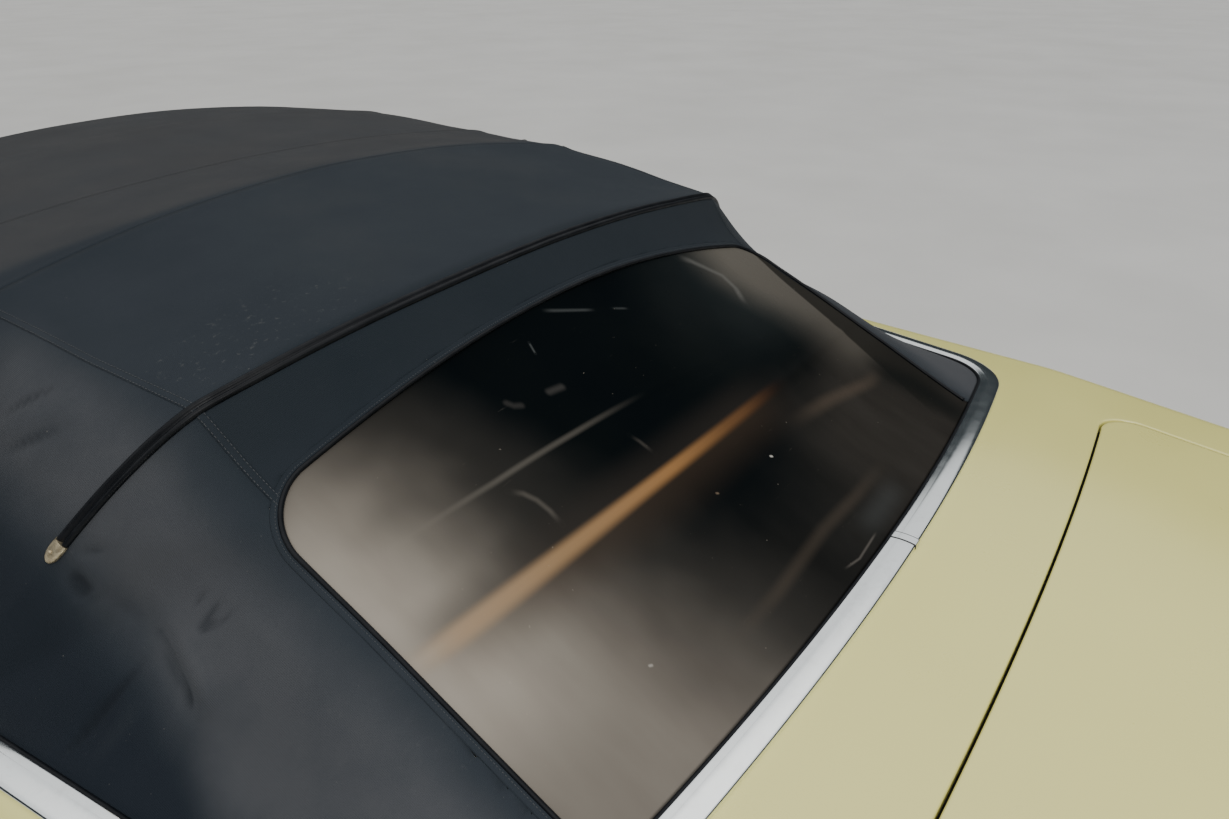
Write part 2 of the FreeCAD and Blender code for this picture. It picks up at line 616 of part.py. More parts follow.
# main pivot brackets: upright plate, base flange, top flange under the panel, stepped bolt
BRACKET_X = 655.0
BOLT_X = 690.0
BOLT_Y = 25.0
above_rail = box(0, 900, -200, 50, BELT_Z - 60, 400).cut(body_solid(SKIN_T, -14.0))
for side, s in SIDES.items():
    outline = [(-40, 0), (40, 0), (40, BELT_Z - 10), (-27, BELT_Z - 10), (-27, 98), (-40, 70)]
    plate = yz_plate(outline, BRACKET_X, BRACKET_X + 6)
    plate = plate.fuse(x_cylinder(BRACKET_X, BRACKET_X + 6, 0, BELT_Z, 24))
    base = box(BRACKET_X, BRACKET_X + 62, -45, 45, 0, 6)
    for by in (-BOLT_Y, BOLT_Y):
        base = base.cut(Part.makeCylinder(4.5, 20, V(BOLT_X, by, -5)))
    web = box(BRACKET_X + 40, BRACKET_X + 46, -40, 40, 0, BELT_Z + 10).cut(above_rail)
    top = box(BRACKET_X + 28, BRACKET_X + 62, -40, 40, BELT_Z - 40, BELT_Z + 10)
    top = top.cut(above_rail).common(under_skin(20.0))
    bolt = x_cylinder(597, BRACKET_X + 2, 0, BELT_Z, 6.0).fuse(x_cylinder(592, 597, 0, BELT_Z, 11.0))
    bracket = plate.fuse([base, web, top, bolt]).cut(well_lip).removeSplitter()
    if s < 0:
        bracket = mirror(bracket)
    save(bracket, "pivot_bracket_%s" % side)
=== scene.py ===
import math

import bmesh
import bpy
import numpy as np
from mathutils import Matrix, Vector
from mathutils.bvhtree import BVHTree
from mathutils.geometry import delaunay_2d_cdt


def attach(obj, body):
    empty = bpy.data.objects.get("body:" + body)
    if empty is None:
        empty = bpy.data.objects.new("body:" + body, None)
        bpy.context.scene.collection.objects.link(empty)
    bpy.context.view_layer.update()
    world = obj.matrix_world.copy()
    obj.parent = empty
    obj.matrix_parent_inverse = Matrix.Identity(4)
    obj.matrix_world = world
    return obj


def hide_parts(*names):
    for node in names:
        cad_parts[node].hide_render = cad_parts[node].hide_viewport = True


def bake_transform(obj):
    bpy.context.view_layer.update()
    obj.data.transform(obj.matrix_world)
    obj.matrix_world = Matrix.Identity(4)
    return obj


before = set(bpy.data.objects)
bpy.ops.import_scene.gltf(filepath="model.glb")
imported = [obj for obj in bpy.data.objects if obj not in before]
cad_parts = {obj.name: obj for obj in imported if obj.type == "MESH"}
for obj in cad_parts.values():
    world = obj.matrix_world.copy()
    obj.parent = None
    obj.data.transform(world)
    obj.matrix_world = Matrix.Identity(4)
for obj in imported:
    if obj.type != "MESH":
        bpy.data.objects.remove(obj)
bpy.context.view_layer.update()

# driving dimensions, metres, as in the solids
BELT_Z = 0.15
REAR_Y, REAR_R = -0.66, 4.26
SIDE_X, SIDE_SPREAD, CORNER_R = 0.731, 0.17, 0.115
MOULDING_W = 0.03
JOINT_X = 0.062
FRONT_Y, TAIL_Y = 0.06, -1.64
CROWN_R, CROWN_Z = 14.2, 0.0138
# slope of the panel behind the top, further slope towards the tail, and the length over which each sets in
REAR_FALL, REAR_ONSET = 0.079, 0.02
TAIL_FALL, TAIL_FALL_Y, TAIL_ONSET = 0.03, -1.092, 0.1
SHOULDER_X, SHOULDER_SPREAD = 0.677, 0.052
SHOULDER_R, SIDE_DROP, LEAD_IN = 0.048, 0.07, 0.012
LID_Y, LID_TAIL_Y, LID_HALF_W, LID_TAPER = -0.792, -1.59, 0.58, 0.045
LID_CORNER_R, LID_FRONT_R = 0.062, 8.3
WINDOW_X, WINDOW_TOP_Y, WINDOW_R = 0.463, -0.203, 0.058

# the lid's skin is drawn 1.8 mm larger than its solid, for the fine gap of the photograph
LID_GAP = 0.0032

# angle round the main pivot, crown radius, (x, radius) of side foot, side end, crown start
HOOPS = {
    "side_front": (40.0, 0.5, (0.69, 0.03), (0.543, 0.352), (0.478, 0.428)),
    "knee": (51.1, 0.43, (0.695, 0.03), (0.55, 0.296), (0.466, 0.376)),
    "roof_mid": (85.0, 0.309, (0.696, 0.03), (0.566, 0.205), (0.45, 0.274)),
    "rear_bow": (116.5, 0.3295, (0.697, 0.03), (0.576, 0.176), (0.44, 0.288)),
    "window_top": (131.0, 0.315, (0.697, 0.03), (0.545, 0.205), (0.45, 0.268)),
    "curtain_1": (148.0, 0.352, (0.697, 0.03), (0.505, 0.254), (0.456, 0.2975)),
    "curtain_2": (163.0, 0.427, (0.697, 0.03), (0.52, 0.338), (0.468, 0.378)),
    "curtain_3": (173.0, 0.52, (0.697, 0.03), (0.56, 0.392), (0.47, 0.4854)),
}
# y, crown height over the belt, (x, height) of side foot, side end, crown start
ARCHES = {
    "middle": (0.47, 0.324, (0.533, 0.258), (0.528, 0.272), (0.456, 0.294)),
    "front": (0.76, 0.34, (0.518, 0.258), (0.512, 0.274), (0.442, 0.305)),
    "header": (0.99, 0.332, (0.5, 0.244), (0.494, 0.264), (0.424, 0.294)),
}
KNEE_ANGLE = HOOPS["knee"][0]
REAR_BOW_ANGLE = HOOPS["rear_bow"][0]
REAR_BOW_SHARE = 0.59
# raised line over the knee bow: width, height
KNEE_RIDGE = (0.012, 0.0022)
KNEE_ROWS = 26
CANVAS_T, PLASTIC_T = 0.0022, 0.001
FLOOR_Z = -0.34


# small helpers

def smooth01(a, b, v):
    t = np.clip((np.asarray(v, float) - a) / (b - a), 0.0, 1.0)
    return t * t * (3.0 - 2.0 * t)


def unit(v):
    v = np.asarray(v, float)
    return v / np.maximum(np.linalg.norm(v, axis=-1, keepdims=True), 1e-12)


def arc3(a, m, b, n):
    """n + 1 points on the arc through three plan points."""
    a, m, b = (np.array(p[:2], float) for p in (a, m, b))
    d = 2 * (a[0] * (m[1] - b[1]) + m[0] * (b[1] - a[1]) + b[0] * (a[1] - m[1]))
    sa, sm, sb = (p @ p for p in (a, m, b))
    cx = (sa * (m[1] - b[1]) + sm * (b[1] - a[1]) + sb * (a[1] - m[1])) / d
    cy = (sa * (b[0] - m[0]) + sm * (a[0] - b[0]) + sb * (m[0] - a[0])) / d
    c = np.array([cx, cy])
    ang = [math.atan2(*(p - c)[::-1]) for p in (a, m, b)]
    turn = (ang[2] - ang[0]) % math.tau
    if (ang[1] - ang[0]) % math.tau > turn:
        turn -= math.tau
    t = ang[0] + turn * np.linspace(0, 1, n + 1)
    r = np.linalg.norm(a - c)
    return np.stack([cx + r * np.cos(t), cy + r * np.sin(t)], -1)


def line2(a, b, n):
    return np.linspace(a, b, n + 1)


def join(*runs):
    """Runs of points end to end, each shared point once."""
    return np.concatenate([runs[0]] + [r[1:] for r in runs[1:]])


def resample(points, step):
    seg = np.linalg.norm(np.diff(points, axis=0), axis=1)
    s = np.concatenate([[0], np.cumsum(seg)])
    n = max(2, int(round(s[-1] / step)))
    t = np.linspace(0, s[-1], n + 1)
    return np.stack([np.interp(t, s, points[:, k]) for k in range(points.shape[1])], -1)


def new_object(name, verts, faces, material):
    mesh = bpy.data.meshes.new(name)
    mesh.from_pydata([tuple(map(float, v)) for v in verts], [], [tuple(map(int, f)) for f in faces])
    mesh.validate()
    mesh.polygons.foreach_set("use_smooth", [True] * len(mesh.polygons))
    mesh.materials.append(material)
    obj = bpy.data.objects.new(name, mesh)
    bpy.context.scene.collection.objects.link(obj)
    return obj


def grid_faces(rows, cols, flip=False, closed=False):
    faces = []
    for i in range(rows - 1):
        for j in range(cols if closed else cols - 1):
            k = (j + 1) % cols
            f = (i * cols + j, i * cols + k, (i + 1) * cols + k, (i + 1) * cols + j)
            faces.append(f[::-1] if flip else f)
    return faces


def thicken(obj, depth):
    """Gives a skin its thickness, inwards."""
    mod = obj.modifiers.new("thickness", "SOLIDIFY")
    mod.thickness = depth
    mod.offset = -1.0
    return mod


def split_sharp(obj, degrees):
    mod = obj.modifiers.new("sharp", "EDGE_SPLIT")
    mod.split_angle = math.radians(degrees)


def shade(node, material, bevel):
    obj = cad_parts[node]
    obj.data.materials.clear()
    obj.data.materials.append(material)
    if bevel:
        mod = obj.modifiers.new("edge", "BEVEL")
        mod.width = bevel
        mod.segments = 2
        mod.limit_method = "ANGLE"
        mod.angle_limit = math.radians(40)


# plan lines of the body

def moulding_line(inset, side_n=40, corner_n=18, rear_n=60, front_y=FRONT_Y):
    """Right half from the front to the centre of the rear, then the left half."""
    cy = REAR_Y + REAR_R
    n = math.hypot(1.0, SIDE_SPREAD)
    side = SIDE_X - inset * n
    r = CORNER_R - inset
    rear = REAR_R - inset
    lo, hi = REAR_Y, REAR_Y + 0.5
    for _ in range(60):
        mid = (lo + hi) / 2
        if math.hypot(side + SIDE_SPREAD * mid - r * n, mid - cy) > rear - r:
            lo = mid
        else:
            hi = mid
    c = np.array([side + SIDE_SPREAD * lo - r * n, lo])
    a0 = math.atan2(-SIDE_SPREAD, 1.0)
    out = unit(c - np.array([0.0, cy]))
    a1 = math.atan2(out[1], out[0])
    t = a0 + (a1 - a0) * np.linspace(0, 1, corner_n + 1)
    corner = c + r * np.stack([np.cos(t), np.sin(t)], -1)
    front = np.array([side + SIDE_SPREAD * front_y, front_y])
    b0 = math.atan2(corner[-1][1] - cy, corner[-1][0])
    t = b0 + (-math.pi / 2 - b0) * np.linspace(0, 1, rear_n + 1)
    rear_arc = np.stack([rear * np.cos(t), cy + rear * np.sin(t)], -1)
    half = join(line2(front, corner[0], side_n), corner, rear_arc)
    return join(half, half[::-1] * [-1, 1])


def lid_line(inset, edge_n=40, corner_n=12):
    r = LID_CORNER_R - inset
    y0, y1 = LID_Y - inset, LID_TAIL_Y + inset
    w0 = LID_HALF_W - inset + LID_TAPER * 0.02
    w1 = w0 - LID_TAPER * (y0 - y1)
    sag = w0 * w0 / (2 * LID_FRONT_R)
    p = (w0, y0 + sag - r)
    q = (w0 - r, y0 + sag * ((w0 - r) / w0) ** 2)
    pm = (w0 - 0.27 * r, y0 + sag - 0.27 * r)
    s = (w1 + LID_TAPER * r, y1 + r)
    t = (w1 - r, y1)
    sm = (w1 - 0.28 * r, y1 + 0.3 * r)
    half = join(
        arc3((-q[0], q[1]), (0, y0), q, 2 * edge_n)[edge_n:],
        arc3(q, pm, p, corner_n),
        line2(p, s, 2 * edge_n),
        arc3(s, sm, t, corner_n),
        line2(t, (0, y1), edge_n),
    )
    full = join(half, half[::-1] * [-1, 1])
    return full[:-1]


def eased(distance, onset):
    """A distance past a line, which sets in softly."""
    s = np.maximum(0.0, distance)
    return np.sqrt(s * s + onset * onset) - onset


def deck_z(x, y):
    """Height of the painted surface over a plan point."""
    x, y = np.asarray(x, float), np.asarray(y, float)
    fall = REAR_FALL * eased(REAR_Y - y, REAR_ONSET) + TAIL_FALL * eased(TAIL_FALL_Y - y, TAIL_ONSET)
    return BELT_Z + CROWN_Z - fall - x * x / (2 * CROWN_R)


def on_deck(plan, lift=0.0):
    """Plan points raised to the painted surface."""
    return np.column_stack([plan, deck_z(plan[:, 0], plan[:, 1]) + lift])


def shoulder_x(y):
    return SHOULDER_X + SHOULDER_SPREAD * (y - REAR_Y)


def side_section(y, inset=0.0, arc_n=16):
    """Right side of the body section from just inside the crown's edge down to the lower flange."""
    cx = shoulder_x(y)
    a0 = math.pi / 2 - math.asin(cx / CROWN_R)
    a1 = math.radians(6.0)
    edge_x = cx + SHOULDER_R * math.cos(a0)
    cz = float(deck_z(edge_x, y)) - SHOULDER_R * math.sin(a0)
    r = SHOULDER_R - inset
    t = np.linspace(a0, a1, arc_n + 1)
    arc = np.stack([cx + r * np.cos(t), cz + r * np.sin(t)], -1)
    foot = arc[-1] + SIDE_DROP * np.array([math.sin(a1), -math.cos(a1)])
    side = line2(arc[-1], foot, 5)
    lead_x = edge_x - LEAD_IN * np.array([1.0, 0.66, 0.33])
    lead = np.stack([lead_x, deck_z(lead_x, y) - inset], -1)
    return join(np.vstack([lead, arc[:1]]), arc, side, [foot, foot + [-0.006, -0.0005], foot + [-0.014, 0.0]])


def inside(points, loop):
    x, y = points[:, 0], points[:, 1]
    hit = np.zeros(len(points), bool)
    for a, b in zip(loop, np.roll(loop, -1, 0)):
        cross = (a[1] > y) != (b[1] > y)
        with np.errstate(divide="ignore", invalid="ignore"):
            at = (b[0] - a[0]) * (y - a[1]) / (b[1] - a[1]) + a[0]
        hit ^= cross & (x < at)
    return hit


def loop_normals(loop):
    """Outward plan normals of a closed loop."""
    t = unit(np.roll(loop, -1, 0) - np.roll(loop, 1, 0))
    n = np.stack([t[:, 1], -t[:, 0]], -1)
    area = np.sum(loop[:, 0] * np.roll(loop[:, 1], -1) - np.roll(loop[:, 0], -1) * loop[:, 1])
    return n if area > 0 else -n


# spacing of the points that keep the grid off the borders, and twice the area of a sliver
BORDER_STEP, SLIVER = 0.004, 2e-7


def panel(outline, hole, spacing=0.017):
    """Triangles over an outline, less a hole, on the deck's surface."""
    loops = [outline] if hole is None else [outline, hole]

    def within(points):
        ok = inside(points, outline)
        return ok if hole is None else ok & ~inside(points, hole)

    pts, edges = [], []
    for loop in loops:
        k = len(pts)
        pts += [tuple(p) for p in loop]
        edges += [(k + i, k + (i + 1) % len(loop)) for i in range(len(loop))]
    lo, hi = outline.min(0), outline.max(0)
    gx, gy = np.meshgrid(np.arange(lo[0], hi[0], spacing), np.arange(lo[1], hi[1], spacing))
    gx[1::2] += spacing / 2
    grid = np.stack([gx.ravel(), gy.ravel()], -1)
    grid = grid[within(grid)]
    border = np.concatenate([resample(np.vstack([p, q]), BORDER_STEP)
                             for loop in loops for p, q in zip(loop, np.roll(loop, -1, 0))])
    near = np.array([np.min(np.sum((border - g) ** 2, 1)) for g in grid])
    pts += [tuple(p) for p in grid[near > (0.5 * spacing) ** 2]]
    verts, _, tris, *_ = delaunay_2d_cdt([Vector(p) for p in pts], edges, [], 0, 1e-7)
    verts = np.array([tuple(v) for v in verts])
    corners = verts[np.array(tris)]
    (ux, uy), (vx, vy) = (corners[:, 1] - corners[:, 0]).T, (corners[:, 2] - corners[:, 0]).T
    # slivers between points in one line would turn the normals along the edge
    kept = within(corners.mean(1)) & (np.abs(ux * vy - uy * vx) > SLIVER)
    return on_deck(verts), [t for t, k in zip(tris, kept) if k]


def rim(loop, steps, toward):
    """Rolled edge: rings of (plan offset, drop) from a loop, outwards or inwards."""
    n = loop_normals(loop) * toward
    rings = [on_deck(loop + n * off, -drop) for off, drop in steps]
    return np.concatenate(rings), grid_faces(len(rings), len(loop), closed=True)


def band_between(a, b):
    """Strip of the painted surface between two loops of as many points."""
    return np.concatenate([on_deck(a), on_deck(b)]), grid_faces(2, len(a), closed=True)


def sheet_of(grid, flip=False):
    grid = np.array(grid)
    return grid.reshape(-1, 3), grid_faces(*grid.shape[:2], flip=flip)


def tube(rings, flip=False):
    """Closed skin over rings of points, with flat ends."""
    rings = np.array(rings)
    n, m = rings.shape[:2]
    faces = grid_faces(n, m, closed=True) + [tuple(range(m))[::-1], tuple(range((n - 1) * m, n * m))]
    return rings.reshape(-1, 3), [f[::-1] for f in faces] if flip else faces


def merge(*parts):
    verts, faces, k = [], [], 0
    for v, f in parts:
        verts.append(v)
        faces += [tuple(i + k for i in q) for q in f]
        k += len(v)
    return np.concatenate(verts), faces


def weld(obj, dist=2e-5):
    """One shell: shared points joined and every face turned the same way, the top faces up."""
    bm = bmesh.new()
    bm.from_mesh(obj.data)
    bmesh.ops.remove_doubles(bm, verts=bm.verts, dist=dist)
    bmesh.ops.recalc_face_normals(bm, faces=bm.faces)
    if sum(f.normal.z * f.calc_area() for f in bm.faces) < 0:
        bmesh.ops.reverse_faces(bm, faces=bm.faces)
    bm.to_mesh(obj.data)
    bm.free()


# materials

class Field:
    """A shader value that adds, multiplies and steps like a number."""

    def __init__(self, tree, socket):
        self.tree = tree
        self.socket = socket

    def math(self, op, other=0.0, clamp=False):
        n = self.tree.nodes.new("ShaderNodeMath")
        n.operation = op
        n.use_clamp = clamp
        feed(self, n.inputs[0])
        feed(other, n.inputs[1])
        return Field(self.tree, n.outputs[0])

    def __add__(self, other):
        return self.math("ADD", other)

    def __sub__(self, number):
        return self.math("ADD", -number)

    def __mul__(self, other):
        return self.math("MULTIPLY", other)

    def __abs__(self):
        return self.math("ABSOLUTE")

    def step(self, low, high):
        """Smooth step from 0 at low to 1 at high, which may be the smaller one."""
        n = self.tree.nodes.new("ShaderNodeMapRange")
        n.interpolation_type = "SMOOTHSTEP"
        n.inputs["From Min"].default_value = low
        n.inputs["From Max"].default_value = high
        feed(self, n.inputs["Value"])
        return Field(self.tree, n.outputs["Result"])

    def ramp(self, *stops):
        """Colour or grey between stops of (place, colour or grey)."""
        n = self.tree.nodes.new("ShaderNodeValToRGB")
        marks = n.color_ramp.elements
        while len(marks) < len(stops):
            marks.new(0.5)
        for mark, (place, value) in zip(marks, stops):
            mark.position = place
            mark.color = (*np.broadcast_to(value, 3), 1.0)
        feed(self, n.inputs["Fac"])
        return Field(self.tree, n.outputs["Color"])


def feed(value, slot):
    """Links a field to a slot, or sets a number, vector or colour there."""
    if isinstance(value, Field):
        value.tree.links.new(value.socket, slot)
    elif hasattr(value, "__len__"):
        slot.default_value = (*value, 1.0)[:len(slot.default_value)]
    else:
        slot.default_value = value


class Shader:
    """A material in the making, with a colour that takes one layer after the other."""

    def __init__(self, name, color, rough=0.5, metal=0.0, **sockets):
        self.mat = bpy.data.materials.new(name)
        self.mat.use_nodes = True
        self.tree = self.mat.node_tree
        self.bsdf = self.tree.nodes["Principled BSDF"]
        self.color = color
        for key, value in dict(Base_Color=color, Roughness=rough, Metallic=metal, **sockets).items():
            feed(value, self.bsdf.inputs[key.replace("_", " ")])

    def coords(self, grain=(1, 1, 1)):
        """Object coordinates, stretched by grain."""
        place = self.tree.nodes.new("ShaderNodeTexCoord")
        n = self.tree.nodes.new("ShaderNodeMapping")
        n.inputs["Scale"].default_value = grain
        self.tree.links.new(place.outputs["Object"], n.inputs["Vector"])
        return Field(self.tree, n.outputs["Vector"])

    def axes(self):
        """Object coordinates x and y."""
        n = self.tree.nodes.new("ShaderNodeSeparateXYZ")
        feed(self.coords(), n.inputs["Vector"])
        return [Field(self.tree, socket) for socket in n.outputs[:2]]

    def noise(self, scale, detail=4.0, rough=0.55, grain=(1, 1, 1)):
        n = self.tree.nodes.new("ShaderNodeTexNoise")
        feed(self.coords(grain), n.inputs["Vector"])
        for key, value in (("Scale", scale), ("Detail", detail), ("Roughness", rough)):
            feed(value, n.inputs[key])
        return Field(self.tree, n.outputs["Fac"])

    def attribute(self, name):
        n = self.tree.nodes.new("ShaderNodeAttribute")
        n.attribute_name = name
        return Field(self.tree, n.outputs["Fac"])

    def vector_math(self, op, *values, output=0):
        n = self.tree.nodes.new("ShaderNodeVectorMath")
        n.operation = op
        for slot, value in zip(n.inputs, values):
            feed(value, slot)
        return Field(self.tree, n.outputs[output])

    def near_path(self, points, half, taper):
        """1 on the line through plan points, fading over half to either side and over taper at its ends."""
        plan = self.coords((1.0, 1.0, 0.0))
        points = [np.array((x, y, 0.0)) for x, y in points]
        near = None
        for a, b in zip(points, points[1:]):
            ab = b - a
            along = self.vector_math("DOT_PRODUCT", self.vector_math("SUBTRACT", plan, a), ab, output=1)
            share = along.math("MULTIPLY", 1.0 / (ab @ ab), clamp=True)
            foot = self.vector_math("MULTIPLY_ADD", ab, share, a)
            away = self.vector_math("DISTANCE", plan, foot, output=1)
            near = near.math("MINIMUM", away) if near else away
        share = near.step(half, 0.0)
        for end in (points[0], points[-1]):
            share = share * self.vector_math("DISTANCE", plan, end, output=1).step(0.0, taper)
        return share

    def layer(self, share, color):
        """Lays a colour over what is there, by share."""
        n = self.tree.nodes.new("ShaderNodeMix")
        n.data_type = "RGBA"
        for value, key in ((share, 0), (self.color, 6), (color, 7)):
            feed(value, n.inputs[key])
        self.color = Field(self.tree, n.outputs[2])

    def made(self, rough=None, height=None, strength=0.0, distance=0.0):
        """The material with its colour, its roughness and its fine relief linked up."""
        feed(self.color, self.bsdf.inputs["Base Color"])
        if rough:
            feed(rough, self.bsdf.inputs["Roughness"])
        if height:
            n = self.tree.nodes.new("ShaderNodeBump")
            for key, value in (("Height", height), ("Strength", strength), ("Distance", distance)):
                feed(value, n.inputs[key])
            self.tree.links.new(n.outputs["Normal"], self.bsdf.inputs["Normal"])
        return self.mat


def paint_material():
    sh = Shader("cream_paint", (0.6, 0.57, 0.29), 0.42, Coat_Weight=1.0, Coat_Roughness=0.12)
    sh.color = sh.noise(2.2, 3).ramp((0.3, (0.612, 0.574, 0.178)), (0.7, (0.652, 0.616, 0.2)))
    dust = sh.noise(420, 2).ramp((0.7, 0.0), (0.82, 1.0))
    sh.layer(dust * 0.1, (0.72, 0.7, 0.55))
    return sh.made(sh.noise(9, 5).ramp((0.3, 0.26), (0.75, 0.38)), sh.noise(260, 2), 0.03, 0.0004)


def canvas_material():
    """Navy cloth: painted sheen along the shoulders and a painted reflection over the front of the roof,
    painted shade on the sides and in the folds, scuffed in front of the welt.
    """
    sh = Shader("navy_canvas", (0.02, 0.024, 0.031), 0.8, Sheen_Weight=0.02, Sheen_Roughness=0.5,
                Sheen_Tint=(0.62, 0.58, 0.52), Specular_IOR_Level=0.12)
    x, y = sh.axes()
    side = abs(x)
    cloud = sh.noise(8.5, 5, 0.6)
    wander = sh.noise(5.0, 4) * 0.05 - 0.025
    sh.color = sh.noise(1.9, 5).ramp((0.3, (0.015, 0.0205, 0.0275)), (0.52, (0.02, 0.0255, 0.032)),
                                     (0.78, (0.03, 0.033, 0.036)))
    # dark in the shade of the sides, and in the strip between the welt and the window
    sh.layer((side + wander).step(0.575, 0.625) * 0.75, (0.006, 0.0095, 0.015))
    strip_y = y.step(-0.11, -0.13) * y.step(-0.25, -0.2)
    sh.layer(strip_y * side.step(0.47, 0.44) * 0.6, (0.0085, 0.013, 0.0175))
    # lighter shoulder, a painted sheen where the quarter faces up and back, which bends outwards behind the
    # window's corner
    bend = ((y + 0.2) * -0.2).math("MAXIMUM", 0.0).math("MINIMUM", 0.035)
    ridge_x = side + bend * -1.0 + wander
    band = (side + wander).step(0.46, 0.52) * ridge_x.step(0.605, 0.55) * y.step(0.22, 0.05)
    sh.layer(band * cloud.ramp((0.3, 0.6), (0.6, 1.0)), (0.05, 0.053, 0.059))
    # painted reflection that greys the front of the roof
    sh.layer(y.step(0.27, 0.31) * cloud.ramp((0.25, 0.55), (0.65, 1.0)), (0.0385, 0.0395, 0.0415))
    # painted shade in the folds, a painted highlight on their ridges
    fold = sh.attribute("fold")
    sh.layer(fold.step(-0.0006, -0.0042) * 0.62, (0.006, 0.0085, 0.012))
    sh.layer(fold.step(0.0005, 0.003) * 0.18, (0.08, 0.083, 0.088))
    # scuffs and specks
    scuff = sh.noise(120, 8, 0.75).ramp((0.58, 0.0), (0.72, 1.0))
    worn = y.step(0.02, -0.04) * y.step(-0.12, -0.09) * side.step(0.47, 0.42) * side.step(0.2, 0.27)
    sh.layer(scuff * worn * 0.5, (0.11, 0.108, 0.104))
    place = sh.noise(3.1, 2).ramp((0.5, 0.0), (0.64, 1.0))
    sh.layer(scuff * place * 0.18, (0.085, 0.086, 0.088))
    speck = sh.noise(260, 1).ramp((0.8, 0.0), (0.84, 1.0))
    sh.layer(speck * 0.3, (0.22, 0.21, 0.19))
    weave = (x * 5200.0).math("SINE") + (y * 5200.0).math("SINE")
    rough = sh.noise(6, 4).ramp((0.3, 0.68), (0.7, 0.88))
    return sh.made(rough, weave * 0.25 + sh.noise(180, 4), 0.35, 0.0006)


def lining_material():
    sh = Shader("grey_lining", (0.055, 0.055, 0.058), 0.9)
    sh.color = sh.noise(5, 4).ramp((0.3, (0.045, 0.045, 0.048)), (0.7, (0.075, 0.074, 0.074)))
    return sh.made(None, sh.noise(900, 2), 0.3, 0.0005)


# plan line of the amber fold, where the window folds with the roof: a parabola about its middle
AMBER_Y, AMBER_X, AMBER_BEND = -0.4235, 0.02, 0.11

# faint marks of the window: plan points, half width and taper of the ends in millimetres, share, colour
WINDOW_MARKS = [
    (((-400, -309), (-276, -324), (-160, -334), (-30, -343)), 5.0, 150, 0.15, (0.32, 0.29, 0.245)),
    # painted reflection: the next mark is a brown ray across the right of the window
    (((95, -465), (219, -473), (327, -487), (405, -484)), 15.0, 120, 0.36, (0.085, 0.064, 0.047)),
    (((200, -571), (84, -573), (-2, -570), (-124, -575), (-240, -572)), 12.0, 140, 0.24,
     (0.08, 0.062, 0.046)),
    (((180, -600), (20, -603)), 24.0, 60, 0.4, (0.04, 0.043, 0.043)),
    (((55, -614), (-4, -617), (-36, -611)), 2.2, 20, 0.25, (0.2, 0.18, 0.16)),
    (((-272, -339), (-262, -349), (-256, -362), (-254, -377), (-255, -394)), 5.0, 18, 0.17,
     (0.23, 0.205, 0.175)),
    (((-107, -369), (-103, -380), (-100, -399)), 4.2, 14, 0.11, (0.23, 0.205, 0.175)),
    (((237, -203), (260, -213), (277, -228), (294, -250), (289, -278), (265, -310)), 8.5, 30, 0.45,
     (0.12, 0.118, 0.11)),
    # painted glints: the next two marks are thin bright bars of reflected light
    (((-64, -203), (12, -230)), 3.4, 20, 0.3, (0.1, 0.108, 0.108)),
    (((34, -236), (60, -246)), 3.0, 10, 0.25, (0.1, 0.108, 0.108)),
    (((-111, -226), (-116, -240)), 2.2, 3, 0.4, (0.1, 0.108, 0.108)),
    (((-196, -268), (-192, -275), (-185, -279)), 6.2, 0.4, 0.3, (0.062, 0.058, 0.054)),
    (((-144, -284), (-126, -287)), 7.0, 0.4, 0.4, (0.062, 0.058, 0.054)),
    (((-298, -532), (-296, -533)), 2.2, 0.4, 0.5, (0.4, 0.38, 0.34)),
    (((35, -478), (37, -479)), 2.2, 0.4, 0.7, (0.55, 0.53, 0.48)),
    (((-76, -468), (-74, -469)), 2.0, 0.4, 0.35, (0.3, 0.22, 0.15)),
    (((385, -498), (405, -530), (410, -590)), 48.0, 0.4, 0.65, (0.005, 0.0062, 0.006)),
]


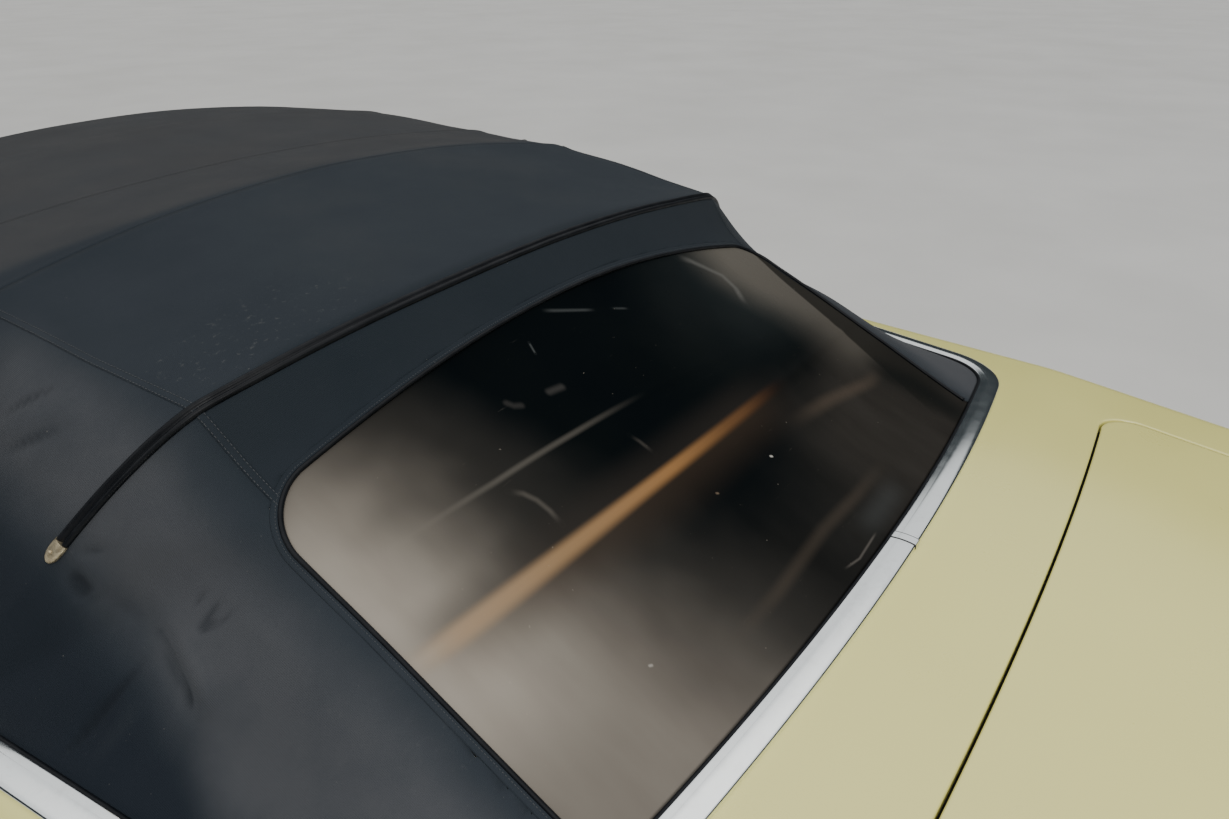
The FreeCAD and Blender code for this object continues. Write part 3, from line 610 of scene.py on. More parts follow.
def window_material():
    """Smoked flexible plastic: haze on the left, brown bloom, an amber fold and fine creases."""
    sh = Shader("hazy_window", (0.02, 0.02, 0.02), 0.22, Specular_IOR_Level=0.007)
    x, y = sh.axes()
    soft = (sh.noise(4.2, 3) - 0.5) * 0.16
    streaky = sh.noise(2.2, 4, grain=(5.0, 1.4, 1.0))
    sh.color = sh.noise(4, 3).ramp((0.3, (0.0008, 0.0022, 0.0032)), (0.7, (0.0026, 0.0038, 0.004)))
    # dull brown in the far lower part and along the foot
    brown = streaky.ramp((0.25, (0.013, 0.012, 0.0105)), (0.75, (0.027, 0.0245, 0.0215)))
    sh.layer((x + soft).step(0.02, 0.22) * (y + soft).step(-0.38, -0.5), brown)
    sh.layer((y + soft).step(-0.44, -0.58) * 0.45, brown)
    # pale band that ends in a crease beside the far edge, dark beyond it
    beside = x - 0.4967 + y * -0.223
    wide = y.step(-0.38, -0.24) * 0.09
    rising = (beside + soft * 0.5 + wide).step(-0.145, 0.01)
    far_pale = (y + 0.6).ramp((0.1, (0.05, 0.045, 0.038)), (0.4, (0.11, 0.1, 0.085)))
    sh.layer((beside + soft).step(-0.42, -0.02) * y.step(-0.44, -0.28) * 0.5, (0.034, 0.04, 0.04))
    sh.layer(rising * (y + soft * 0.3).step(-0.5, -0.43) * 0.85, far_pale)
    sh.layer(beside.step(-0.003, 0.003) * y.step(-0.6, -0.54) * 0.85, (0.012, 0.0115, 0.01))
    # haze fades from the left edge, further across towards the foot
    left = x + (y + 0.355) * 0.45 + soft
    sh.layer(left.step(-0.14, -0.33), (0.029, 0.027, 0.024))
    pale = streaky.ramp((0.2, (0.19, 0.163, 0.138)), (0.8, (0.3, 0.272, 0.23)))
    thin = y.step(-0.42, -0.56) * -0.5 + 1.0 + y.step(-0.27, -0.21) * -0.25
    sh.layer(left.step(-0.25, -0.46) * thin, pale)
    # amber fold with a painted shadow in front of it and a brown glow behind it
    bow = x - AMBER_X
    off = y - AMBER_Y + bow * bow * -AMBER_BEND
    line = abs(off)
    ends = x.step(0.19, 0.05) * x.step(-0.475, -0.4)
    amber = (x + 0.5).ramp((0.06, (0.27, 0.198, 0.132)), (0.22, (0.238, 0.15, 0.078)),
                           (0.4, (0.235, 0.122, 0.048)), (0.52, (0.11, 0.055, 0.024)),
                           (0.66, (0.034, 0.016, 0.01)))
    sh.layer(line.step(0.05, 0.008) * off.step(0.0, 0.01) * ends * 0.5, (0.024, 0.02, 0.017))
    sh.layer(line.step(0.06, 0.0) * off.step(0.0, -0.01) * ends * 0.4, (0.05, 0.034, 0.023))
    reach = x.step(-0.1, -0.45) * 0.0056 + 0.0108
    sh.layer(line.math("DIVIDE", reach).step(1.0, 0.12) * ends * 0.92, amber)
    for points, half, taper, share, tint in WINDOW_MARKS:
        sh.layer(sh.near_path(np.divide(points, 1000), half / 1000, taper / 1000) * share, tint)
    hair = sh.noise(7, 10, 0.75, (3.0, 26.0, 3.0)).ramp((0.655, 0.0), (0.7, 1.0))
    sh.layer(hair * 0.04, (0.4, 0.36, 0.3))
    speck = sh.noise(190, 1).ramp((0.8, 0.0), (0.83, 1.0))
    sh.layer(speck * 0.25, (0.3, 0.27, 0.22))
    rough = sh.noise(7, 6).ramp((0.3, 0.18), (0.75, 0.4))
    return sh.made(rough, sh.noise(6, 3, grain=(1.0, 2.5, 1.0)), 0.1, 0.01)


def bright_material():
    sh = Shader("bright_moulding", (0.8, 0.82, 0.82), 0.1, 1.0)
    sh.color = sh.noise(60, 6, 0.7).ramp((0.25, (0.85, 0.87, 0.86)), (0.5, (0.94, 0.97, 0.96)))
    rough = sh.noise(30, 6).ramp((0.3, 0.09), (0.8, 0.15))
    return sh.made(rough, sh.noise(90, 3, grain=(1, 1, 30)), 0.015, 0.0003)


def welt_material():
    sh = Shader("black_welt", (0.004, 0.005, 0.007), 0.4, Specular_IOR_Level=0.14)
    sh.color = sh.noise(40, 5).ramp((0.35, (0.003, 0.0038, 0.0055)), (0.75, (0.008, 0.009, 0.011)))
    return sh.made(sh.noise(70, 4).ramp((0.3, 0.3), (0.7, 0.52)), sh.noise(700, 3), 0.12, 0.0004)


def tip_material():
    sh = Shader("tarnished_tip", (0.62, 0.57, 0.44), 0.34, 0.85)
    sh.color = sh.noise(160, 6, 0.7).ramp((0.3, (0.25, 0.2, 0.12)), (0.62, (0.6, 0.52, 0.36)))
    return sh.made(sh.noise(220, 4).ramp((0.3, 0.25), (0.7, 0.55)))


def simple_material(name, dark, light, rough, metal=0.0, scale=30.0, grain=(1, 1, 1), depth=0.0004):
    sh = Shader(name, dark, rough, metal)
    sh.color = sh.noise(scale, 6, 0.6, grain).ramp((0.3, dark), (0.7, light))
    spread = sh.noise(scale * 1.7, 4, grain=grain).ramp((0.3, rough * 0.85), (0.7, min(1.0, rough * 1.2)))
    return sh.made(spread, sh.noise(scale * 9, 3, grain=grain), 0.15, depth)


PAINT = paint_material()
CANVAS = canvas_material()
LINING = lining_material()
WINDOW = window_material()
BRIGHT = bright_material()
WELT = welt_material()
TIP = tip_material()
ENAMEL = simple_material("black_enamel", (0.012, 0.012, 0.013), (0.03, 0.029, 0.028), 0.42)
ZINC = simple_material("dull_plate", (0.3, 0.29, 0.26), (0.48, 0.47, 0.43), 0.4, 0.9, 55)
# dark rubber of the seals, also used for the painted shadow under the moulding's joint strap
SEAL_AND_SHADE = simple_material("weather_strip_and_shadow", (0.01, 0.01, 0.011), (0.024, 0.024, 0.025), 0.75, 0.0, 60)
TIMBER = simple_material("tack_strip", (0.16, 0.1, 0.055), (0.3, 0.2, 0.115), 0.8, 0.0, 14,
                         (1, 12, 12), 0.001)
THREAD = simple_material("thread", (0.03, 0.033, 0.037), (0.056, 0.059, 0.064), 0.8, 0.0, 300)


# painted panels

# rolled edge of a skin: offset from the outline, drop; the loops of support hold the shading flat beside it
EDGE_ROLL = [(0.0, 0.0), (0.0006, 0.0003), (0.0012, 0.0009), (0.0015, 0.0017)]
EDGE, SUPPORT = 0.0015, 0.0045
DRIP_CHANNEL = [(0.0015, 0.0165), (0.0022, 0.0172), (0.0105, 0.0172)]
LID_FLANGE = [(0.0015, 0.0085)]
SKIN_T = 0.0012
TAIL_R = 0.012
WELL_INSET, WELL_LIP = 0.042, 0.018


def build_deck():
    well = moulding_line(WELL_INSET)
    ys = resample(np.array([[0.0, FRONT_Y], [0.0, TAIL_Y + TAIL_R]]), 0.02)[:, 1]
    tail_y = ys[-1]
    rows = [side_section(y) for y in ys]
    edge = np.array([[r[0][0], y] for r, y in zip(rows, ys)])
    tail_x = np.linspace(edge[-1][0], -edge[-1][0], 81)
    tail = np.stack([tail_x, np.full(81, tail_y)], -1)
    front_in = np.array([[-well[0][0], FRONT_Y]])
    outer = join(edge, tail, edge[::-1] * [-1, 1])
    outline = np.concatenate([outer, front_in, well[::-1][1:-1], front_in * [-1, 1]])
    opening, support = lid_line(-EDGE), lid_line(-SUPPORT)
    parts = [panel(outline, support), band_between(support, opening),
             rim(opening, EDGE_ROLL + DRIP_CHANNEL, -1.0)]
    # shoulders and sides
    for s in (1, -1):
        parts.append(sheet_of([[(s * p[0], y, p[1]) for p in r] for r, y in zip(rows, ys)], flip=s < 0))
    # rounded tail edge and tail face
    rings = []
    for a in np.linspace(0, math.pi / 2, 6):
        y, inset = tail_y - TAIL_R * math.sin(a), TAIL_R * (1 - math.cos(a))
        half = side_section(y, inset)
        crown = np.stack([tail_x[::-1], deck_z(tail_x[::-1], y) - inset], -1)
        rings.append(np.array([(p[0], y, p[1]) for p in join(half[::-1] * [-1, 1], crown, half)]))
    last = rings[-1].copy()
    last[:, 2] = last[:, 2].min()
    parts.append(sheet_of(rings + [last], flip=True))
    # lip round the well
    parts.append(sheet_of([on_deck(well), on_deck(well) - [0, 0, WELL_LIP]]))
    obj = new_object("rear_body_panel", *merge(*parts), PAINT)
    weld(obj)
    # the floor of the drip channel is dark
    obj.data.materials.append(SEAL_AND_SHADE)
    centre = np.array([tuple(poly.center) for poly in obj.data.polygons])
    low = deck_z(centre[:, 0], centre[:, 1]) - centre[:, 2] > 0.01
    channel = low & inside(centre[:, :2], lid_line(-0.0006))
    obj.data.polygons.foreach_set("material_index", channel.astype(np.int32))
    thicken(obj, SKIN_T)
    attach(obj, "body_panel")
    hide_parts("deck_panel")


def build_lid():
    edge, support = lid_line(LID_GAP + EDGE), lid_line(LID_GAP + SUPPORT)
    parts = [panel(support, None), band_between(support, edge), rim(edge, EDGE_ROLL + LID_FLANGE, 1.0)]
    obj = new_object("boot_lid_skin", *merge(*parts), PAINT)
    weld(obj)
    thicken(obj, SKIN_T)
    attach(obj, "boot_lid")
    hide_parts("lid_panel")


# bright mouldings

# millimetres inwards from the outer edge and over the deck
MOULDING_PROFILE = [
    (0, 0.2), (0, 3.4), (0.6, 4.7), (2.2, 5.7), (6, 6.4), (11, 6.7), (16.5, 6.7), (21, 6.4), (21.4, 6.3),
    (22.2, 6.2), (27.6, 5.4), (29, 5.2), (29.3, 5.1), (29.9, 4.2), (30, 3.4), (30, 0.2),
]
# pieces over the joint: steps to either side of it, then growth over the outer edge and lift in millimetres
JOINT_STEP = 0.0008
JOINT_PIECES = (
    ("moulding_joint_strap", BRIGHT, 7, 0.8, 0.6),
    # the dark piece is painted shadow: a strip under the strap whose edges show as the shadow lines of the
    # joint's gaps
    ("moulding_joint_gap", SEAL_AND_SHADE, 9, 0.4, 0.3),
)
OUTER_POINTS = 7


def along_moulding(path, profile, lift=0.0):
    t = unit(np.gradient(path, axis=0))
    inward = np.stack([t[:, 1], -t[:, 0]], -1)
    inward *= np.sign(np.sum(inward * (np.array([0.0, -0.2]) - path), 1))[:, None]
    across, high = np.divide(profile, 1000).T
    rings = [on_deck(p + np.outer(across, n), high + lift / 1000) for p, n in zip(path, inward)]
    return tube(rings, flip=True)


def build_mouldings():
    line = resample(moulding_line(0.0, front_y=FRONT_Y - 0.002), 0.006)
    cut = int(np.argmin(np.hypot(line[:, 0] - JOINT_X, line[:, 1] - REAR_Y)))
    for name, path in (("right", line[:cut + 1]), ("left", line[cut:])):
        obj = new_object("bright_moulding_" + name, *along_moulding(path, MOULDING_PROFILE), BRIGHT)
        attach(obj, "body_panel")
        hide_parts("moulding_" + name)
        split_sharp(obj, 35)
    near = resample(line[cut - 4:cut + 5], JOINT_STEP)
    mid = len(near) // 2
    for name, mat, reach, grow, lift in JOINT_PIECES:
        strap = [(w - grow if i < OUTER_POINTS else w, h) for i, (w, h) in enumerate(MOULDING_PROFILE)]
        obj = new_object(name, *along_moulding(near[mid - reach:mid + reach + 1], strap, lift), mat)
        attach(obj, "body_panel")
        split_sharp(obj, 30)
        if mat is BRIGHT:
            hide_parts("moulding_joint_cover")


# hoops and the stretched cover

SIDE_N, CORNER_N, CROWN_N = 36, 20, 36


def half_path(crown, foot, end, start):
    foot, end, start = (np.array(p, float) for p in (foot, end, start))
    radius = (start[0] ** 2 + (crown - start[1]) ** 2) / (2 * (crown - start[1]))
    slope = start[0] / math.sqrt(radius ** 2 - start[0] ** 2)
    side = unit(end - foot)
    t = np.array([1.0, -slope])
    det = side[0] * t[1] - side[1] * t[0]
    k = ((start[0] - end[0]) * t[1] - (start[1] - end[1]) * t[0]) / det
    q = end + side * k
    u = np.linspace(0, 1, CORNER_N + 1)[:, None]
    corner = (1 - u) ** 2 * end + 2 * u * (1 - u) * q + u ** 2 * start
    x = np.linspace(start[0], 0, CROWN_N + 1)
    top = np.stack([x, crown - radius + np.sqrt(radius ** 2 - x ** 2)], -1)
    return join(line2(foot, end, SIDE_N), corner, top)


def full_path(*spec):
    half = half_path(*spec)
    return join(half, half[::-1] * [-1, 1])


def fan(angle, path):
    c, s = math.cos(math.radians(angle)), math.sin(math.radians(angle))
    return np.stack([path[:, 0], path[:, 1] * c, BELT_Z + path[:, 1] * s], -1)


def hoop(name, foot_r=None):
    angle, crown, foot, end, start = HOOPS[name]
    if foot_r is not None:
        k = (foot_r - end[1]) / (foot[1] - end[1])
        foot = (end[0] + (foot[0] - end[0]) * k, foot_r)
    return fan(angle, full_path(crown, foot, end, start))


def arch(name):
    y, crown, foot, end, start = ARCHES[name]
    path = full_path(crown, foot, end, start)
    return np.stack([path[:, 0], np.full(len(path), y), BELT_Z + path[:, 1]], -1)


def belt_hoop():
    return on_deck(moulding_line(MOULDING_W + 0.0006, SIDE_N, CORNER_N, CROWN_N, -0.03), 0.0015)


def rows_between(hoops, counts):
    """Smooth rows through hoops, by chord length, with free ends."""
    hoops = np.array(hoops)
    gap = np.linalg.norm(np.diff(hoops, axis=0), axis=2).mean(1)
    d = np.diff(hoops, axis=0) / gap[:, None, None]
    before, after = gap[:-1, None, None], gap[1:, None, None]
    slope = np.concatenate([d[:1], (d[:-1] * after + d[1:] * before) / (before + after), d[-1:]])
    rows = [hoops[:1]]
    for i, (h, n) in enumerate(zip(gap, counts)):
        u = np.linspace(0, 1, n + 1)[1:, None, None]
        rows.append((1 + 2 * u) * (1 - u) ** 2 * hoops[i] + u * (1 - u) ** 2 * h * slope[i]
                    + u * u * (3 - 2 * u) * hoops[i + 1] + u * u * (u - 1) * h * slope[i + 1])
    return np.concatenate(rows)


# a point inside the top, which every normal of the cloth points away from
MIDDLE = np.array([0.0, -0.05, 0.1])


def grid_normals(grid):
    n = unit(np.cross(np.gradient(grid, axis=0), np.gradient(grid, axis=1)))
    return n * np.sign(np.sum(n * (grid - MIDDLE), -1, keepdims=True))


def angle_of(points):
    return np.degrees(np.arctan2(points[..., 2] - BELT_Z, points[..., 1]))


def ridge(points, angle, width, height):
    """Raised line of the cover over a bow at one angle round the pivot."""
    r = np.hypot(points[..., 1], points[..., 2] - BELT_Z)
    d = np.radians(angle_of(points) - angle) * r
    return height * np.exp(-(d / width) ** 2)


# soft folds: start, end, half width, depth (millimetres); the cloth is found below each of them
FOLDS = [
    ((-562, -178, 240), (-582, -264, 204), 5.2, -5.2), ((-551, -190, 245), (-571, -266, 211), 10.5, 2.8),
    ((-583, -181, 222), (-668, -156, 154), 6.8, -4.6), ((-588, -205, 212), (-662, -190, 156), 14.0, 1.4),
    ((-578, -114, 270), (-565, -178, 239), 10.0, -1.7), ((-588, -88, 282), (-587, -112, 260), 9.5, -4.8),
    ((-540, -196, 259), (-520, -203, 274), 4.6, -2.4), ((-539, -212, 252), (-517, -220, 270), 5.0, -2.8),
    ((-535, -228, 252), (-513, -238, 268), 4.6, -2.2), ((-548, -212, 246), (-532, -224, 255), 7.0, -3.0),
    ((-518, -247, 263), (-516, -305, 255), 6.0, 1.4), ((-576, -92, 297), (-560, -115, 300), 4.6, -2.4),
    ((-558, 70, 373), (-507, 21, 406), 8.0, -3.0), ((-575, 45, 350), (-530, -22, 385), 9.0, -3.0),
    ((-600, -340, 178), (-628, -480, 160), 18.0, -2.2), ((563, -181, 239), (588, -272, 200), 8.5, -3.0),
    ((583, -170, 225), (660, -150, 160), 11.0, -3.4), ((588, -88, 282), (586, -120, 256), 9.0, -3.0),
    ((560, 60, 370), (510, 25, 405), 11.0, -2.0),
]
FOLD_STEPS = 8


def folds(points, tree):
    """Height of the soft folds at each point."""
    total = np.zeros(points.shape[:-1])
    for *ends, width, depth in FOLDS:
        a, b = (Vector(np.divide(end, 1000)) for end in ends)
        line = [np.array(tree.find_nearest(a.lerp(b, u))[0]) for u in np.linspace(0, 1, FOLD_STEPS + 1)]
        far = np.full(points.shape[:-1], np.inf)
        along = np.zeros(points.shape[:-1])
        for i, (p, q) in enumerate(zip(line, line[1:])):
            pq = q - p
            t = np.clip(((points - p) @ pq) / (pq @ pq), 0, 1)
            d = np.linalg.norm(points - (p + t[..., None] * pq), axis=-1)
            along = np.where(d < far, (i + t) / FOLD_STEPS, along)
            far = np.minimum(far, d)
        taper = np.sin(np.pi * np.clip(along, 0.06, 0.94)) ** 0.6
        total += depth / 1000 * np.exp(-(far / (width / 1000)) ** 2) * taper
    return total


def ripple(points):
    """Slow unevenness of stretched cloth, stronger down its sides."""
    x, y, z = points[..., 0], points[..., 1], points[..., 2]
    side = smooth01(0.44, 0.56, np.abs(x))
    wave = np.sin(17 * x + 9 * y + 1.3) * np.sin(13 * y - 21 * z)
    wave = wave + 0.6 * np.sin(31 * y + 23 * x + 0.7 * np.sin(19 * z))
    return wave * (0.0006 + 0.001 * side)


def build_cover_grid():
    roof = rows_between([hoop("knee"), hoop("roof_mid"), hoop("rear_bow")], [22, 24])
    lower_names = ("rear_bow", "window_top", "curtain_1", "curtain_2", "curtain_3")
    lower = rows_between([hoop(n) for n in lower_names] + [belt_hoop()], [16, 20, 18, 18, 20])
    grid = join(roof, lower)
    bow_row = len(roof) - 1
    for _ in range(3):
        soft = grid.copy()
        for i in range(bow_row - 2, bow_row + 4):
            soft[i] = 0.25 * grid[i - 1] + 0.5 * grid[i] + 0.25 * grid[i + 1]
        grid = soft
    return grid, bow_row


def relief(grid, creases):
    knee = ridge(grid, KNEE_ANGLE, *KNEE_RIDGE)
    knee *= smooth01(0.1, 0.2, np.hypot(grid[..., 1], grid[..., 2] - BELT_Z))
    amount = ripple(grid) + creases + knee
    hem = smooth01(0.0, 0.02, grid[..., 2] - deck_z(grid[..., 0], grid[..., 1]))
    return grid + grid_normals(grid) * (amount * hem)[..., None]


def tree_of(grid):
    verts, faces = sheet_of(grid)
    return BVHTree.FromPolygons([Vector(p) for p in verts], faces, epsilon=0.0)


def drop_on(tree, x, y, z=0.8):
    hit, n, *_ = tree.ray_cast(Vector((x, y, z)), Vector((0, 0, -1)))
    if hit is None:
        hit, n, *_ = tree.find_nearest(Vector((x, y, BELT_Z)))
    return np.array(hit), np.array(n if n.z > 0 else -n)


def even(values, rounds):
    for _ in range(rounds):
        middle = 0.25 * values[:-2] + 0.5 * values[1:-1] + 0.25 * values[2:]
        values = np.concatenate([values[:1], middle, values[-1:]])
    return values


def strip_frame(line):
    """Unit vectors along the line, out of the cloth and to the side."""
    t = unit(np.gradient(line, axis=0))
    n = []
    for p in line:
        out = np.array(CLOTH_TREE.find_nearest(Vector(p))[1])
        n.append(out if out @ (p - MIDDLE) > 0 else -out)
    n = unit(even(np.array(n), 6))
    return t, n, unit(np.cross(t, n))


def settle(point, normal):
    """The point moved along the normal onto the cloth."""
    hit, *_ = CLOTH_TREE.ray_cast(Vector(point + normal * 0.02), Vector(-normal), 0.05)
    return np.array(hit) if hit is not None else point


def strip(line, profile):
    """A sewn strip that follows the cloth: profile is (across, height) in millimetres."""
    profile = np.divide(profile, 1000)
    return tube([[settle(p + w * s, n) + n * h for w, h in profile]
                 for p, _, n, s in zip(line, *strip_frame(line))])


# rings of a stitch: share of its length, share of its width
GRAIN = ((-0.5, 0.25), (-0.3, 0.9), (0.3, 0.9), (0.5, 0.25))
SIXTHS = [a * math.pi / 3 for a in range(6)]


def stitches(line, across, pitch, length, lift, width=0.0009):
    """Thread stitches beside a line, each a small grain."""
    path = resample(line, pitch)
    grains = []
    for p, t, n, s in zip(path, *strip_frame(path)):
        q = settle(p + across * s, n) + n * lift
        spokes = [s * math.cos(a) + n * math.sin(a) * 0.7 for a in SIXTHS]
        grains.append(tube([[q + t * along * length + r * wide * width / 2 for r in spokes]
                            for along, wide in GRAIN]))
    return merge(*grains)


def share_of(points):
    """How far a point of the cover turns with the main links: 0 at the belt, 1 at the knee bow."""
    return np.interp(angle_of(points), [KNEE_ANGLE, REAR_BOW_ANGLE, 180.0], [1.0, REAR_BOW_SHARE, 0.0])


def blend_by(obj):
    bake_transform(obj)


def rear_cloth(obj):
    points = np.array([tuple(v.co) for v in obj.data.vertices])
    share = share_of(points)
    blend_by(obj)


GRID, BOW_ROW = build_cover_grid()
SMOOTH_TREE = tree_of(GRID)
CREASES = folds(GRID, SMOOTH_TREE)
RELIEF = relief(GRID, CREASES)
CLOTH_TREE = tree_of(RELIEF)


# the window narrows to its foot by this much, and its head is bowed by as much
WINDOW_EASE = 0.007


def foot_y(x, gap):
    """Plan line along the inner edge of the moulding, at a gap from it."""
    return REAR_Y + REAR_R - np.sqrt((REAR_R - MOULDING_W - gap) ** 2 - x ** 2)


def window_outline(grow=0.0, n=24):
    """Closed plan outline of the window, moved outwards by grow, but not at its foot."""
    r = WINDOW_R + grow
    wx, top = WINDOW_X + grow, WINDOW_TOP_Y + grow
    foot_x = WINDOW_X - WINDOW_EASE + grow
    t = np.linspace(0, math.pi / 2, n + 1)
    corner = np.stack([wx - r + r * np.sin(t), top - r + r * np.cos(t)], -1)
    head = arc3((-wx + r, top), (0, top + WINDOW_EASE), (wx - r, top), 4 * n)[2 * n:]
    x = np.linspace(foot_x, 0, 2 * n + 1)
    foot = np.stack([x, foot_y(x, 0.001)], -1)
    half = join(head, corner, line2(corner[-1], foot[0], 3 * n), foot)
    return join(half, half[::-1] * [-1, 1])[:-1]


def mark_folds(obj, depths):
    """Depth of the soft folds at each point, for the cloth's shade."""
    values = np.zeros(len(obj.data.vertices), np.float32)
    values[:depths.size] = depths.ravel()
    obj.data.attributes.new("fold", "FLOAT", "POINT").data.foreach_set("value", values)


def build_rear_cover():
    cols = RELIEF.shape[1]
    flat, faces = sheet_of(RELIEF)
    mid = flat[np.array(faces)].mean(1)
    low = window_outline()[:, 1].min() - 0.01
    cut = inside(mid[:, :2], window_outline(0.005)) & (mid[:, 1] > low) & (mid[:, 1] < WINDOW_TOP_Y + 0.02)
    cut &= mid[:, 2] < RELIEF[BOW_ROW][:, 2].max()
    foot = inside(mid[:, :2], np.array([[-0.45, -0.7], [0.45, -0.7], [0.45, -0.55], [-0.45, -0.55]]))
    parts = [(flat, [f for f, gone in zip(faces, cut | foot) if not gone])]
    # front piece of each quarter, down the main link
    knee, side = hoop("knee"), hoop("side_front")
    for quarter in (slice(0, SIDE_N + 1), slice(cols - SIDE_N - 1, cols)):
        rows = [knee[quarter] * (1 - u) + side[quarter] * u for u in np.linspace(0, 1, 9)]
        parts.append(sheet_of(rows, flip=True))
    obj = new_object("rear_cover", *merge(*parts), CANVAS)
    mark_folds(obj, CREASES)
    obj.data.materials.append(LINING)
    weld(obj, 5e-4)
    thicken(obj, CANVAS_T).material_offset = 1
    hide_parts("roof_rear_cover", "quarter_cover_left", "quarter_cover_right", "rear_curtain")
    rear_cloth(obj)
    return obj


def build_window():
    """Plastic patch, row by row from the head to the foot, each row as wide as the outline."""
    grow = 0.004
    r = WINDOW_R + grow
    grid = []
    for v in np.linspace(0, 1, 110) ** 1.25:
        wide = WINDOW_X + grow - WINDOW_EASE * v
        down = v * 0.4
        if down < r:
            wide -= r - math.sqrt(r * r - (r - down) ** 2)
        row = []
        for u in np.linspace(-1, 1, 121):
            x = u * wide
            head = WINDOW_TOP_Y + grow + WINDOW_EASE * (1 - (x / (WINDOW_X - WINDOW_R)) ** 2)
            y = head + (foot_y(x, 0.002) - head) * v
            p, n = drop_on(SMOOTH_TREE, x, y)
            wave = 0.0011 * math.sin(14 * x + 5 * y) * math.sin(19 * y + 2.0) - 0.001
            amber = 0.0014 * math.exp(-(((y - AMBER_Y - AMBER_BEND * (x - AMBER_X) ** 2) / 0.006) ** 2))
            second = 0.0005 * math.exp(-(((y + 0.3455 + 0.084 * x) / 0.004) ** 2))
            fade = min(1.0, v * 12, (1 - v) * 12, (1 - abs(u)) * 14)
            row.append(p + n * ((wave + amber + second) * fade - 0.0006))
        grid.append(row)
    obj = new_object("rear_window_plastic", *sheet_of(grid, flip=True), WINDOW)
    thicken(obj, PLASTIC_T)
    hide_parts("rear_window")
    rear_cloth(obj)
    return obj


def on_cloth(outline, tree):
    return np.array([drop_on(tree, x, y)[0] for x, y in outline])


# millimetres across and over the cloth
HEM_PROFILE = [
    (-2.4, -3), (-2.4, 0.6), (-1.8, 2), (-0.4, 3), (1, 3), (2.2, 2), (3.2, 1.3), (6.2, 1.2), (8.4, 0.9),
    (9.6, 0.3), (10, -3),
]
PIPING_PROFILE = [(-2.7, 0), (-2.4, 1.8), (-1, 3.3), (0.7, 3.7), (2.1, 2.8), (2.8, 1)]
SEAM_PROFILE = [(-5, -0.4), (-4.7, 0.6), (-2.4, 1), (2.4, 1), (4.6, 0.5), (4.9, -0.4)]


def sewn(name, skin, mat):
    """A piece that is sewn to the rear cloth."""
    obj = new_object(name, *skin, mat)
    rear_cloth(obj)


def build_hem():
    """Bound edge of the window opening, but for its foot: a stitched strip with piping over its bead."""
    loop = window_outline()
    keep = loop[:, 1] > -0.596
    start = int(np.argmax(~keep & np.roll(keep, -1))) + 1
    line = resample(on_cloth(np.roll(loop, -start, 0)[np.roll(keep, -start)], SMOOTH_TREE), 0.006)
    side = strip_frame(line)[2]
    sign = 1.0 if np.mean(np.sum(side * (line - np.array([0.0, -0.4, 0.27])), 1)) > 0 else -1.0
    sewn("window_hem", strip(line, [(sign * w, h) for w, h in HEM_PROFILE]), CANVAS)
    sewn("window_hem_stitches", stitches(line, sign * 0.0046, 0.0034, 0.0022, 0.0013, width=0.0007), THREAD)
    sewn("window_piping", strip(line, [(sign * w, h) for w, h in PIPING_PROFILE]), WELT)


def column_at(x, row):
    """Point of one row of the cover at the given x on the crown side."""
    half = RELIEF[row][:RELIEF.shape[1] // 2 + 1][::-1]
    return np.array([np.interp(abs(x), half[:, 0], half[:, k]) for k in range(3)]) * [np.sign(x), 1, 1]


def seam_x(u):
    """Distance of a roof seam from the centre, from the knee bow (0) to the rear bow (1)."""
    return 0.495 - 0.04 * u


def build_seams():
    """Flat-felled seams between the roof and the quarters, down to the window's corners."""
    for s, name in ((-1, "left"), (1, "right")):
        upper = np.array([column_at(s * seam_x(r / BOW_ROW), r) for r in range(BOW_ROW + 1)])
        corner = on_cloth(np.array([[s * 0.443, WINDOW_TOP_Y - 0.013]]), CLOTH_TREE)[0]
        steps = [upper[-1] * (1 - u) + corner * u for u in np.linspace(0, 1, 14)]
        lower = np.array([CLOTH_TREE.find_nearest(Vector(p))[0] for p in steps])
        line = resample(join(upper, lower), 0.006)
        sewn("roof_seam_" + name, strip(line, SEAM_PROFILE), CANVAS)
        rows = [stitches(line, w, 0.0046, 0.0032, 0.0012) for w in (-0.0032, 0.0032)]
        sewn("roof_seam_stitches_" + name, merge(*rows), THREAD)


def build_belt_piping():
    """Black piping where the cover meets the bright moulding."""
    line = resample(RELIEF[-1], 0.008)
    up = np.array([0.0, 0.0, 1.0])
    rings = []
    for p, t in zip(line, unit(np.gradient(line, axis=0))):
        side = unit(np.cross(t, up))
        rings.append([p + side * 0.0028 * math.cos(a) + up * (0.0016 + 0.0028 * math.sin(a))
                      for a in np.linspace(0, math.tau, 9)[:-1]])
    obj = new_object("belt_piping", *tube(rings), WELT)
    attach(obj, "body_panel")


# double bead, from edge to edge, in millimetres
WELT_PROFILE = [
    (-7.2, -0.2), (-7.2, 1.2), (-6.3, 3), (-4.8, 4), (-3, 3.8), (-1.4, 2.4), (-0.4, 0.8),
    (0.4, 0.8), (1.4, 2.4), (3, 3.8), (4.8, 4), (6.3, 3), (7.2, 1.2), (7.2, -0.2),
]
WELT_FOOT_R = 0.168
# rings of the bullet-shaped tip: millimetres beyond the welt's end, half width, height
TIP_RINGS = [
    (-3, 8, 5), (0, 8.2, 5.4), (8, 8, 5.6), (13, 7.3, 5), (17, 5.6, 4), (20, 3.2, 2.6), (21.2, 0.8, 0.8),
]
# rings of its pin: radius, height, in millimetres
PIN_RINGS = [(2.1, 0), (2, 0.7), (1.2, 1.1), (0.1, 1.2)]
PIN_AT, PIN_LIFT = 0.009, 0.0056


def welt_line():
    row = RELIEF[BOW_ROW]
    r = np.hypot(row[:, 1], row[:, 2] - BELT_Z)
    return resample(row[r > WELT_FOOT_R], 0.005)


